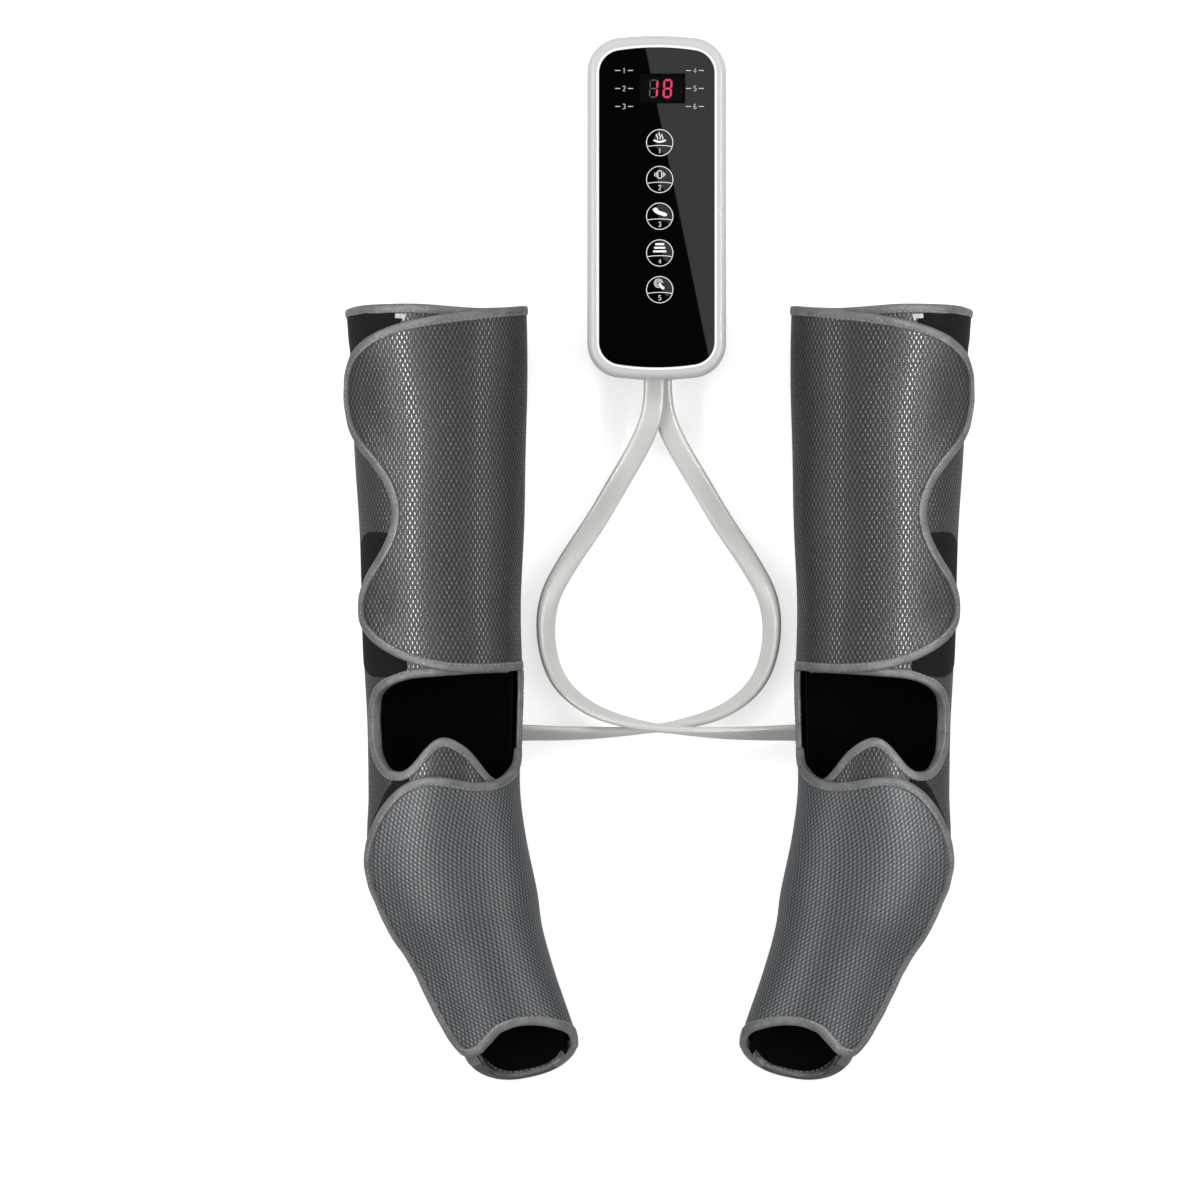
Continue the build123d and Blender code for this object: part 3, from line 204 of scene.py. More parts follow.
# ---------------------------------------------------------------- hoses
HOSE_WIDTH, HOSE_THICKNESS = 14.0, 5.4
HOSE_SQUARENESS = (0.62, 0.72)  # exponents of the section's outline, across and over; 1 is an ellipse
GROMMET_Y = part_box("rear_cover")[0][1] / MM
PORT_X, PORT_Y, PORT_Z = 98.2, -112.5, 9.0
HOSE_RIGHT_ROUTE = [           # on top at both crossings
    (-2.8, GROMMET_Y, 21.3), (-2.8, 103.5, 21.3), (-6.4, 87.5, 19.0), (-15.0, 70.0, 12.9),
    (-27.0, 49.5, 6.8), (-41.5, 24.5, 5.6), (-59.5, -1.5, 6.6), (-73.0, -26.0, 7.6), (-74.2, -55.0, 8.4),
    (-65.8, -80.5, 10.6), (-45.0, -98.2, 15.5), (-17.5, -107.0, 22.0), (13.6, -111.3, 22.0),
    (43.0, -112.8, 16.0), (68.0, -113.0, 10.6), (84.0, PORT_Y, PORT_Z), (PORT_X, PORT_Y, PORT_Z),
]
HOSE_LEFT_ROUTE = [            # underneath
    (1.6, GROMMET_Y, 14.5), (1.6, 103.5, 14.5), (5.6, 87.5, 12.2), (14.6, 70.0, 8.0),
    (27.0, 49.5, 5.2), (41.5, 24.5, 5.2), (59.5, -1.5, 6.6), (73.0, -26.0, 7.6), (74.2, -55.0, 7.8),
    (65.8, -80.5, 7.6), (45.0, -98.2, 7.4), (17.5, -107.0, 7.3), (-13.6, -111.3, 7.3),
    (-43.0, -112.8, 7.5), (-68.0, -113.0, 8.2), (-84.0, PORT_Y, PORT_Z), (-PORT_X, PORT_Y, PORT_Z),
]
# Lean of the flat hose along its length: share of the length, and degrees from lying flat
HOSE_LEAN = [(0.0, 0), (0.15, 2), (0.28, 8), (0.38, 22), (0.47, 38), (0.56, 50), (0.66, 66), (0.76, 88),
             (0.86, 112), (1.0, 133)]

# ---------------------------------------------------------------- camera and light, in metres
CAMERA_X, CAMERA_Y, CAMERA_HEIGHT = -0.03835, -0.026, 12.0
FRAME_WIDTH = 0.78             # of the view at FRAME_HEIGHT, about the wraps' middle
FRAME_HEIGHT = 0.05
STRIP_LENGTH, STRIP_HEIGHT = 1.5, 0.57   # of the long lamps beside the wraps
# These lamps: distance out, the same of the line that they shine at, breadth, watts, spread in degrees,
# and whether matte surfaces take their light
SIDE_LAMPS = {
    "strip": (0.66, 0.12, 0.10, 3.2, 180.0, True),
    "glint": (0.42, 0.142, 0.08, 1.25, 50.0, False),
}
WORLD_LIGHT = 0.50
FLOOR_GLOW = 0.58
FLOOR_LEVEL = -0.0002
FLOOR_REACH = 6.0
FLAG_HEIGHT = 0.35             # of a black card over the controller
# Corners of the card's mirror image in the panel, in millimetres
FLAG_IMAGE = [(-60, 350), (-12.2, 350), (35.4, 118), (35.4, 100), (-60, 100)]
SENSOR = 36.0


# ================================================================ camera

def make_camera():
    data = bpy.data.cameras.new("camera")
    data.sensor_width = SENSOR
    data.lens = SENSOR * (CAMERA_HEIGHT - FRAME_HEIGHT) / FRAME_WIDTH
    data.clip_start, data.clip_end = 0.1, 60.0
    camera = bpy.data.objects.new("camera", data)
    camera.location = (CAMERA_X, CAMERA_Y, CAMERA_HEIGHT)
    bpy.context.scene.collection.objects.link(camera)
    bpy.context.scene.camera = camera


# ================================================================ materials

class Amount:
    """An output of a node. Sums and products of amounts add Math nodes."""

    def __init__(self, nodes, socket):
        self.nodes = nodes
        self.socket = socket

    def maths(self, operation, other=None, swap=False):
        inputs = {0: self} if other is None else {0: other, 1: self} if swap else {0: self, 1: other}
        return self.nodes.add("ShaderNodeMath", {"operation": operation}, inputs, "Value")

    def __add__(self, other):
        return self.maths("ADD", other)

    __radd__ = __add__

    def __sub__(self, other):
        return self.maths("SUBTRACT", other)

    def __rsub__(self, other):
        return self.maths("SUBTRACT", other, swap=True)

    def __mul__(self, other):
        return self.maths("MULTIPLY", other)

    __rmul__ = __mul__

    def __truediv__(self, other):
        return self.maths("DIVIDE", other)

    def cosine(self):
        return self.maths("COSINE")

    def ramp(self, low, high):
        """0 below low, 1 above high, smooth in between."""
        settings = {"interpolation_type": "SMOOTHSTEP"}
        inputs = {"Value": self, "From Min": low, "From Max": high}
        return self.nodes.add("ShaderNodeMapRange", settings, inputs, "Result")


class Nodes:
    """A node tree under construction."""

    def __init__(self, tree):
        self.tree = tree
        tree.nodes.clear()

    def add(self, kind, settings=None, inputs=None, output=None):
        """Add a node. Returns the output asked for as an Amount, or else the node itself."""
        node = self.tree.nodes.new(kind)
        for name, value in (settings or {}).items():
            setattr(node, name, value)
        for name, value in (inputs or {}).items():
            if isinstance(value, Amount):
                self.tree.links.new(value.socket, node.inputs[name])
            else:
                node.inputs[name].default_value = value
        return node if output is None else Amount(self, node.outputs[output])


class Finish(Nodes):
    """A material, or the world, under construction."""

    def __init__(self, name, owner=None):
        self.material = owner or bpy.data.materials.new(name)
        self.material.use_nodes = True
        super().__init__(self.material.node_tree)

    def place(self):
        return self.add("ShaderNodeTexCoord", output="Object")

    def pattern(self):
        """The two lengths of the piece's own UV map: round or across, and along."""
        uv = self.add("ShaderNodeTexCoord", output="UV")
        split = self.add("ShaderNodeSeparateXYZ", inputs={0: uv})
        return Amount(self, split.outputs[0]), Amount(self, split.outputs[1])

    def noise(self, size, detail=2.0, where=None):
        """Soft noise from 0 to 1, with patches of about this size in millimetres."""
        inputs = {"Vector": where or self.place(), "Scale": 1000.0 / size, "Detail": detail}
        return self.add("ShaderNodeTexNoise", None, inputs, "Fac")

    def mix(self, share, first, second):
        """Blend of two colours. They are sockets 6 and 7 of the node, and its output 2."""
        settings = {"data_type": "RGBA"}
        return self.add("ShaderNodeMix", settings, {0: share, 6: first, 7: second}, 2)

    def bump(self, height, depth, strength=1.0):
        inputs = {"Height": height, "Distance": depth * MM, "Strength": strength}
        return self.add("ShaderNodeBump", None, inputs, "Normal")

    def done(self, colour, **values):
        """Close with a Principled shader. Names of its sockets use _ for a space."""
        inputs = {"Base Color": colour}
        inputs.update({name.replace("_", " "): value for name, value in values.items()})
        shader = self.add("ShaderNodeBsdfPrincipled", None, inputs, "BSDF")
        self.add("ShaderNodeOutputMaterial", None, {"Surface": shader})
        return self.material


def grey(value, warmth=0.0):
    return (value * (1 + warmth), value, value * (1 - warmth), 1.0)


def knitted_mesh(name, across, along, hole, thread, loop, shine, slant=0.0, lean=0.0, flat_loops=False):
    """Knitted fabric: staggered shiny loops and small holes, this far apart in millimetres. Slant and
    lean turn its columns and rows; flat loops are narrow along the piece instead of across it."""
    f = Finish(name)
    u, v = f.pattern()
    sway = (f.noise(16.0) - 0.5) * (0.7 * MM)
    columns = ((u + v * slant + sway) * (math.pi / (across * MM))).cosine()
    rows = ((v + u * lean + sway) * (math.pi / (along * MM))).cosine()
    knit = columns * rows
    narrow = rows if flat_loops else columns
    loops = (knit * narrow * narrow).ramp(0.08, 0.55)
    closed_part = (knit * rows * rows).ramp(-0.6, -0.05)
    patches = f.noise(38.0, 3.0) * 0.25 + f.noise(1.6) * 0.4
    normal = f.bump(loops + closed_part * 0.5 + f.noise(0.9) * 0.05, 0.07)
    ground = {"Base Color": f.mix(closed_part * (patches + 0.7), hole, thread), "Roughness": 0.5,
              "Normal": normal, "Specular IOR Level": 0.3}
    raised = {"Base Color": f.mix(patches + 0.5, thread, loop), "Roughness": shine, "Normal": normal,
              "Specular IOR Level": 0.8}
    shaders = [f.add("ShaderNodeBsdfPrincipled", None, values, "BSDF") for values in (ground, raised)]
    cloth = f.add("ShaderNodeMixShader", None, {0: loops, 1: shaders[0], 2: shaders[1]}, "Shader")
    f.add("ShaderNodeOutputMaterial", None, {"Surface": cloth})
    return f.material


def binding_tape(name, low, high):
    """Woven edging with fine cross ribs, a little puckered by its stitches. Its colour varies at random, and
    is darker in the puckers' hollows as painted shade.
    """
    f = Finish(name)
    _, v = f.pattern()
    ribs = (v * (2 * math.pi / (0.75 * MM))).cosine()
    pucker = f.noise(6.5, 3.0)
    # Colour: random tone, plus painted shade that darkens the puckers' hollows.
    shade = f.noise(22.0, 2.0) * 0.5 + pucker * 0.5
    colour = f.mix(shade.ramp(0.3, 0.75), grey(low, -0.01), grey(high, -0.015))
    height = ribs * 0.06 + pucker * 0.8
    return f.done(colour, Roughness=0.42, Normal=f.bump(height, 0.5))


def sewing_thread():
    """Grey twisted thread."""
    f = Finish("sewing_thread")
    twist = f.noise(0.5)
    colour = f.mix(twist, grey(0.24), grey(0.42))
    return f.done(colour, Roughness=0.5, Normal=f.bump(twist, 0.1))


def black_lining():
    """Brushed black cloth."""
    f = Finish("black_lining")
    nap = f.noise(1.1, 3.0)
    colour = f.mix(f.noise(30.0), grey(0.0012), grey(0.0030))
    return f.done(colour, Roughness=0.9, Normal=f.bump(nap, 0.25), Specular_IOR_Level=0.03)


def hook_tape():
    """Black fastening tape, covered with tiny hooks in rows."""
    f = Finish("hook_tape")
    u, v = f.pattern()
    turns = 2 * math.pi / (1.3 * MM)
    hooks = (u * turns).cosine() * (v * turns).cosine() * 0.5 + f.noise(0.7, 2.0)
    colour = f.mix(f.noise(18.0), grey(0.004), grey(0.009))
    return f.done(colour, Roughness=0.55, Normal=f.bump(hooks, 0.25), Specular_IOR_Level=0.07)


def moulded_white():
    """Smooth white plastic of the bezel."""
    f = Finish("moulded_white")
    colour = f.mix(f.noise(45.0), (0.57, 0.57, 0.56, 1), (0.61, 0.61, 0.60, 1))
    return f.done(colour, Roughness=0.40 + f.noise(3.0) * 0.06, Normal=f.bump(f.noise(1.2), 0.012),
                  Specular_IOR_Level=0.4)


def rear_white():
    """The same plastic with a fine spark-eroded grain."""
    f = Finish("rear_white")
    colour = f.mix(f.noise(40.0), (0.58, 0.58, 0.57, 1), (0.62, 0.62, 0.61, 1))
    return f.done(colour, Roughness=0.5 + f.noise(2.0) * 0.1, Normal=f.bump(f.noise(0.6), 0.03))


def gloss_black():
    """Polished black plastic of the panel and keys."""
    f = Finish("gloss_black")
    colour = f.mix(f.noise(60.0), grey(0.0012), grey(0.0018))
    return f.done(colour, Roughness=0.012 + f.noise(25.0) * 0.012, Specular_IOR_Level=0.5)


def display_filter():
    """Smoked window that barely mirrors its surroundings."""
    f = Finish("display_filter")
    colour = f.mix(f.noise(20.0), grey(0.0010), grey(0.0016))
    return f.done(colour, Roughness=0.3, Alpha=0.30 + f.noise(8.0) * 0.02, Specular_IOR_Level=0.02)


def plain(name, colour, roughness, metallic=0.0, size=8.0, spread=0.12, grain=0.02, specular=0.5):
    """Simple finish with slight variation of colour and a fine grain."""
    f = Finish(name)
    low = tuple(c * (1 - spread) for c in colour) + (1,)
    high = tuple(min(c * (1 + spread), 1) for c in colour) + (1,)
    patches = f.noise(size)
    return f.done(f.mix(patches, low, high), Roughness=roughness + patches * 0.08, Metallic=metallic,
                  Normal=f.bump(f.noise(0.9), grain), Specular_IOR_Level=specular)


def glowing(name, colour, strength):
    """Lit plastic, a little uneven."""
    f = Finish(name)
    shade = f.mix(f.noise(1.6), tuple(c * 0.9 for c in colour) + (1,), colour + (1,))
    return f.done(grey(0.02), Roughness=0.4, Emission_Color=shade, Emission_Strength=strength)


def soft_hose():
    """Smooth pale grey plastic hose, slightly cloudy."""
    f = Finish("soft_hose")
    colour = f.mix(f.noise(26.0, 3.0), (0.60, 0.60, 0.57, 1), (0.68, 0.68, 0.65, 1))
    return f.done(colour, Roughness=0.30 + f.noise(12.0) * 0.08, Normal=f.bump(f.noise(9.0), 0.12))


# ================================================================ meshes

def add_object(name, mesh):
    piece = bpy.data.objects.new(name, mesh)
    bpy.context.scene.collection.objects.link(piece)
    return piece


def make_mesh(name, points, faces, material, side=1, uv=None, crease=CLOTH_CREASE):
    """Smooth shaded object from points in millimetres; side -1 mirrors it to the other leg."""
    points = np.asarray(points, float) * MM
    if side < 0:
        points = points * (-1, 1, 1)
        faces = [tuple(reversed(face)) for face in faces]
    mesh = bpy.data.meshes.new(name)
    mesh.from_pydata(points.tolist(), [], [tuple(int(i) for i in face) for face in faces])
    if uv is not None:
        corners = np.zeros(len(mesh.loops), np.int32)
        mesh.loops.foreach_get("vertex_index", corners)
        layer = mesh.uv_layers.new(name="pattern")
        layer.data.foreach_set("uv", (np.asarray(uv)[corners] * MM).astype(np.float32).ravel())
    mesh.materials.append(material)
    mesh.shade_smooth()
    mesh.set_sharp_from_angle(angle=math.radians(crease))
    mesh.validate()
    return add_object(name, mesh)


def tube_faces(count, ring, turned=False):
    """Faces of a closed tube of count rings with ring points each. Turned, they face the other way."""
    faces = []
    for i in range(count - 1):
        for k in range(ring):
            a, b = i * ring + k, i * ring + (k + 1) % ring
            faces.append((a, b, b + ring, a + ring))
    faces.append(tuple(range(ring - 1, -1, -1)))
    faces.append(tuple((count - 1) * ring + k for k in range(ring)))
    return [face[:1] + face[:0:-1] for face in faces] if turned else faces


def join(name, pieces):
    """One object from several, keeping their materials."""
    bpy.ops.object.select_all(action="DESELECT")
    for piece in pieces:
        piece.select_set(True)
    bpy.context.view_layer.objects.active = pieces[0]
    bpy.ops.object.join()
    pieces[0].name = name
    return pieces[0]


def smooth_copy(name, node, material):
    """A CAD node's shape with merged corners and clean shading."""
    mesh = frame["nodes"][node].data.copy()
    bm = bmesh.new()
    bm.from_mesh(mesh)
    bmesh.ops.remove_doubles(bm, verts=bm.verts, dist=SAME_POINT * MM)
    bmesh.ops.dissolve_limit(bm, angle_limit=math.radians(FLAT_WITHIN), verts=bm.verts, edges=bm.edges)
    bm.to_mesh(mesh)
    bm.free()
    mesh.materials.clear()
    mesh.materials.append(material)
    mesh.shade_smooth()
    mesh.set_sharp_from_angle(angle=math.radians(CASE_CREASE))
    piece = add_object(name, mesh)
    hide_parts(node)
    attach(piece, frame["nodes"][node]["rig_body"])


# ================================================================ curves in millimetres

def distance_along(points):
    """Distance from the first point of a line to each of its points."""
    return np.concatenate([[0], np.cumsum(np.linalg.norm(np.diff(points, axis=0), axis=1))])


def spline_through(points, step):
    """Natural cubic spline through the points, sampled about every step."""
    points = np.asarray(points, float)
    n = len(points)
    knots = distance_along(points)
    h = np.diff(knots)
    system = np.eye(n)
    right = np.zeros_like(points)
    for i in range(1, n - 1):
        system[i, i - 1:i + 2] = h[i - 1], 2 * (h[i - 1] + h[i]), h[i]
        right[i] = 6 * ((points[i + 1] - points[i]) / h[i] - (points[i] - points[i - 1]) / h[i - 1])
    bend = np.linalg.solve(system, right)
    at = np.linspace(0, knots[-1], max(2, round(knots[-1] / step) + 1))
    i = np.clip(np.searchsorted(knots, at, side="right") - 1, 0, n - 2)
    a, b = (knots[i + 1] - at)[:, None], (at - knots[i])[:, None]
    w = h[i][:, None]
    return (bend[i] * a**3 + bend[i + 1] * b**3) / (6 * w) + (points[i] / w - bend[i] * w / 6) * a + (
        points[i + 1] / w - bend[i + 1] * w / 6) * b


def evenly(points, step):
    """The same line with points about every step along it."""
    points = np.asarray(points, float)
    along = distance_along(points)
    at = np.linspace(0, along[-1], max(2, round(along[-1] / step) + 1))
    return np.stack([np.interp(at, along, points[:, k]) for k in range(points.shape[1])], axis=1)


def eased(value, low, high):
    """0 up to low, 1 from high on, smooth in between."""
    t = np.clip((np.asarray(value, float) - low) / (high - low), 0, 1)
    return t * t * (3 - 2 * t)


def unit(vectors):
    return vectors / np.maximum(np.linalg.norm(vectors, axis=-1, keepdims=True), 1e-9)


# ================================================================ the wraps' surface

def column(index, down):
    """Value at each distance down, on a smooth curve through one column of the section table."""
    xs, ys = SLEEVE_SECTIONS[:, 0], SLEEVE_SECTIONS[:, index]
    low, high = np.maximum(np.arange(len(xs)) - 1, 0), np.minimum(np.arange(len(xs)) + 1, len(xs) - 1)
    slopes = (ys[high] - ys[low]) / (xs[high] - xs[low])
    i = np.clip(np.searchsorted(xs, down, side="right") - 1, 0, len(xs) - 2)
    h = xs[i + 1] - xs[i]
    t = (down - xs[i]) / h
    start = (2 * t**3 - 3 * t**2 + 1) * ys[i] + (t**3 - 2 * t**2 + t) * h * slopes[i]
    return start + (3 * t**2 - 2 * t**3) * ys[i + 1] + (t**3 - t**2) * h * slopes[i + 1]


def surface(down, angle, depth):
    """Points depth inside the wrap's outside. Angle 0 is the inner side and 90 the top."""
    down, angle = np.asarray(down, float), np.asarray(angle, float)
    offset, width, height, turn = (column(k, down) for k in (1, 2, 3, 4))
    turn = np.radians(turn)
    a, b = width / 2 - depth, height / 2 - depth
    c, s = np.cos(np.radians(angle)), np.sin(np.radians(angle))
    power = np.where(s >= 0, 1.0, 2 / FLOOR_FLATNESS)
    across = a * np.sign(c) * np.abs(c) ** power
    up = b * np.sign(s) * np.abs(s) ** power
    x = offset - SLEEVE_SPACING / 2 + across * np.cos(turn)
    y = SLEEVE_TOP_Y - down + across * np.sin(turn)
    return np.stack([x, y, height / 2 + up], axis=-1)


def drape(down, angle):
    """Slight unevenness of soft cloth, the same for every layer; none where it lies on the floor."""
    a = np.radians(angle)
    wave = 0.55 * np.sin(down / 41.0 + 1.3) * np.cos(2 * a + 0.5) + 0.35 * np.sin(down / 19.0 + 3 * a)
    wave = wave + 0.3 * np.cos(down / 27.0 - 4 * a + 2.0)
    return wave * eased(np.sin(a), -0.75, -0.2)


def skin(down, angle, depth):
    """Points at this depth in the cloth, with its unevenness."""
    return surface(down, angle, depth - drape(down, angle))


def outward(down, angle, depth):
    """Direction that points out of the cloth."""
    step = 0.5
    round_it = skin(down, angle + step, depth) - skin(down, angle - step, depth)
    along = skin(down + step, angle, depth) - skin(down - step, angle, depth)
    return unit(np.cross(round_it, along))


GIRTH_STEP_DOWN, GIRTH_STEP_ROUND = 6.0, 3.0
GIRTH_DOWNS = np.arange(SLEEVE_SECTIONS[0, 0], SLEEVE_END + 8, GIRTH_STEP_DOWN)
GIRTH_ANGLES = np.arange(-36.0, 397.0, GIRTH_STEP_ROUND)


def girth_table():
    """Length round the wrap from the top line, for each distance down and angle."""
    ring = surface(GIRTH_DOWNS[:, None], GIRTH_ANGLES[None, :], 0.0)
    steps = np.linalg.norm(np.diff(ring, axis=1), axis=2)
    length = np.concatenate([np.zeros((len(GIRTH_DOWNS), 1)), np.cumsum(steps, axis=1)], axis=1)
    top = np.searchsorted(GIRTH_ANGLES, 90.0)
    return length - length[:, top:top + 1]


GIRTH = girth_table()


def cloth_uv(down, angle):
    """Position on the flat cloth, in millimetres: round the leg and along it."""
    i = np.clip((down - GIRTH_DOWNS[0]) / GIRTH_STEP_DOWN, 0, len(GIRTH_DOWNS) - 1.001)
    j = np.clip((angle - GIRTH_ANGLES[0]) / GIRTH_STEP_ROUND, 0, len(GIRTH_ANGLES) - 1.001)
    i0, j0 = i.astype(int), j.astype(int)
    fi, fj = i - i0, j - j0
    u = (GIRTH[i0, j0] * (1 - fi) * (1 - fj) + GIRTH[i0 + 1, j0] * fi * (1 - fj)
         + GIRTH[i0, j0 + 1] * (1 - fi) * fj + GIRTH[i0 + 1, j0 + 1] * fi * fj)
    return np.stack([u, down], axis=-1)


def panel_depth(angle):
    """Under the flaps the panel lies deeper than where it is the outside."""
    return UNDERLAP_DEPTH * (1 - eased(angle, *UNDERLAP_END))


def flap_depth(angle):
    return np.zeros_like(angle)


def angle_at(down, share, depth=0.0, limit=EDGE_ANGLE, least=0.0):
    """Angle of a point seen from above, share of the width in from the outer side. A point that
    would lie beyond the outer side stays just short of the limit."""
    width = column(2, down)
    across = (share - 0.5) * width / (width / 2 - depth)
    turn = np.degrees(np.arccos(np.clip(across, -1.0, math.cos(math.radians(least)))))
    turn = turn + BEYOND_TURN * np.maximum(-1.0 - across, 0.0)
    return limit - LIMIT_SOFTNESS * np.log1p(np.exp((limit - turn) / LIMIT_SOFTNESS))


def edge_line(points, depth=0.0, limit=EDGE_ANGLE, least=0.0):
    """Smooth edge on the sleeve: rows of (angle, down)."""
    scaled = [(share * SLEEVE_WIDTH, down) for down, share in points]
    line = spline_through(scaled, 1.0)
    downs = line[:, 1]
    return np.stack([angle_at(downs, line[:, 0] / SLEEVE_WIDTH, depth, limit, least), downs], axis=1)


def toe_down(angle, depth):
    """Distance down at which the slanted toe cut meets the cloth at each angle."""
    origin = surface(TOE_DOWN, 90.0, 0.0)
    origin[2] = column(3, TOE_DOWN) / 2
    turn, slant = math.radians(TOE_TURN), math.radians(TOE_SLANT)
    normal = np.array([math.cos(slant) * math.sin(turn), -math.cos(slant) * math.cos(turn),
                       math.sin(slant)])
    low, high = np.full_like(angle, TOE_NEAREST), np.full_like(angle, SLEEVE_END)
    for _ in range(24):
        middle = (low + high) / 2
        beyond = (skin(middle, angle, depth) - origin) @ normal > 0
        low, high = np.where(beyond, low, middle), np.where(beyond, middle, high)
    return low


def toe_line(first, last, depth_of):
    """Toe edge of the cloth between two angles: rows of (angle, down)."""
    angles = np.linspace(first, last, max(2, round(abs(last - first) / 1.5)))
    return np.stack([angles, toe_down(angles, depth_of(angles))], axis=1)


def straight(start, end):
    """Straight line on the pattern between two (angle, down) points."""
    steps = max(2, round(math.dist((start[0] * GRAIN, start[1]), (end[0] * GRAIN, end[1])) / 2.0))
    return np.linspace(start, end, steps)


def rounded(first, second, reach):
    """Two lines that meet in a corner, joined by a curve that starts this far from it."""
    pieces = [evenly(line * (GRAIN, 1), 0.8) for line in (first, second[::-1])]
    corner = pieces[0][-1]
    kept = [piece[np.linalg.norm(piece - corner, axis=1) > reach] for piece in pieces]
    start, end = kept[0][-1], kept[1][-1]
    t = np.linspace(0, 1, 14)[1:-1, None]
    curve = (1 - t)**2 * start + 2 * t * (1 - t) * corner + t**2 * end
    return np.concatenate([kept[0], curve, kept[1][::-1]]) / (GRAIN, 1)


def closed(*lines):
    """One closed outline from lines that follow each other. Points that nearly meet become one."""
    outline = np.concatenate(lines)
    gap = np.linalg.norm((outline - np.roll(outline, 1, axis=0)) * (GRAIN, 1), axis=1)
    return outline[gap > LEAST_GAP]


# ================================================================ cutting and laying cloth

def inside(outline, points):
    """Whether each point lies inside a closed outline."""
    hit = np.zeros(len(points), bool)
    for (x0, y0), (x1, y1) in zip(outline, np.roll(outline, -1, axis=0)):
        crosses = (y0 > points[:, 1]) != (y1 > points[:, 1])
        if y0 != y1:
            hit ^= crosses & (points[:, 0] < (x1 - x0) * (points[:, 1] - y0) / (y1 - y0) + x0)
    return hit


def distance_to(line, points, ring=False):
    """Shortest distance from each point to a line of points."""
    ends = np.roll(line, -1, axis=0) if ring else line[1:]
    starts = line if ring else line[:-1]
    best = np.full(len(points), 1e9)
    for a, b in zip(starts, ends):
        ab = b - a
        t = np.clip(((points - a) @ ab) / max(ab @ ab, 1e-12), 0, 1)
        best = np.minimum(best, np.linalg.norm(points - a - t[:, None] * ab, axis=1))
    return best


def distance_to_edge(line, flat):
    """Shortest distance on the pattern from each point to an edge of (angle, down) rows."""
    return distance_to(evenly(line * (GRAIN, 1), 3.0), flat)


def cut_cloth(outline, spacing):
    """Triangles of a closed outline of (angle, down) rows, counter-clockwise on the pattern."""
    flat = outline * (GRAIN, 1)
    flat = evenly(np.concatenate([flat, flat[:1]]), spacing * 0.8)[:-1]
    low, high = flat.min(0), flat.max(0)
    rows = np.arange(low[1] + spacing / 2, high[1], spacing * 0.87)
    grid = [(x + (k % 2) * spacing / 2, y) for k, y in enumerate(rows)
            for x in np.arange(low[0], high[0], spacing)]
    grid = np.array(grid)
    grid = grid[inside(flat, grid)]
    grid = grid[distance_to(flat, grid, ring=True) > spacing * 0.55]
    corners = [Vector(p) for p in np.concatenate([flat, grid])]
    made = geometry.delaunay_2d_cdt(corners, [], [list(range(len(flat)))], 1, 1e-6)
    points = np.array([tuple(p) for p in made[0]])
    faces = []
    for face in made[2]:
        (ax, ay), (bx, by), (cx, cy) = points[list(face[:3])]
        turning = (bx - ax) * (cy - ay) - (by - ay) * (cx - ax)
        faces.append(tuple(face) if turning > 0 else tuple(reversed(face)))
    return points / (GRAIN, 1), faces


def lay_cloth(name, outline, depth_of, thickness, material, side, spacing=CLOTH_MESH, bound=(),
              flare=None):
    """Solid piece of cloth on the wrap. It is pinched where bound lines hold it, and stands off
    along the flare line."""
    pattern, faces = cut_cloth(outline, spacing)
    angle, down = pattern[:, 0], pattern[:, 1]
    flat = pattern * (GRAIN, 1)
    pinch = np.zeros(len(pattern))
    for line in bound:
        pinch = np.maximum(pinch, 1 - eased(distance_to_edge(line, flat), *PINCH_REACH))
    depth = depth_of(angle)
    if flare is not None:
        depth = depth - flare_height(flat, flare)
    outer = skin(down, angle, depth + pinch * PINCH)
    inner = skin(down, angle, depth + thickness)
    count = len(pattern)
    solid = list(faces) + [tuple(i + count for i in reversed(face)) for face in faces]
    directed = {(a, b) for face in faces for a, b in zip(face, face[1:] + face[:1])}
    solid += [(a, a + count, b + count, b) for a, b in directed if (b, a) not in directed]
    uv = cloth_uv(down, angle)
    return make_mesh(name, np.concatenate([outer, inner]), solid, material, side,
                     np.concatenate([uv, uv]))


def flare_height(flat, line):
    """How far the cloth stands off near a free edge at the outer side."""
    outer_side = eased(flat[:, 0] / GRAIN, *FLARE_ANGLES)
    return FLARE * (1 - eased(distance_to_edge(line, flat), 0.0, FLARE_REACH)) * outer_side


# ================================================================ binding tape and stitches

def edge_frame(line, depth_of, stack_of, flare=None):
    """The tape along an edge of (angle, down) rows: its middle, its normal, the way along, and half its
    height."""
    flat = evenly(line * (GRAIN, 1), TAPE_STEP)
    angle, down = flat[:, 0] / GRAIN, flat[:, 1]
    stack = stack_of(angle)
    depth = depth_of(angle) + stack / 2
    if flare is not None:
        depth = depth - flare_height(flat, flare)
    places = skin(down, angle, depth)
    normals = outward(down, angle, depth)
    along = unit(np.gradient(places, axis=0))
    normals = unit(normals - (normals * along).sum(1, keepdims=True) * along)
    return places, normals, along, stack / 2 + TAPE_RISE


def lay_tape(name, line, depth_of, stack_of, material, side, flare=None):
    """Binding tape folded round an edge, which has its cloth on the left, seen from outside. The stack
    is the thickness that the tape holds."""
    places, normals, along, half = edge_frame(line, depth_of, stack_of, flare)
    into = np.cross(normals, along)
    section = TAPE_SECTION + [(x, -y) for x, y in reversed(TAPE_SECTION[1:])]
    length = distance_along(places)
    swell = 1 + 0.05 * np.sin(length / 2.9) + 0.04 * np.sin(length / 11.0 + 1.0)
    points, uv = [], []
    for x, y in section:
        points.append(places + into * x + normals * (y * half * swell)[:, None])
        uv.append(np.stack([x + y * half, length], axis=1))
    points, uv = np.stack(points, axis=1).reshape(-1, 3), np.stack(uv, axis=1).reshape(-1, 2)
    return make_mesh(name, points, tube_faces(len(places), len(section)), material, side, uv)


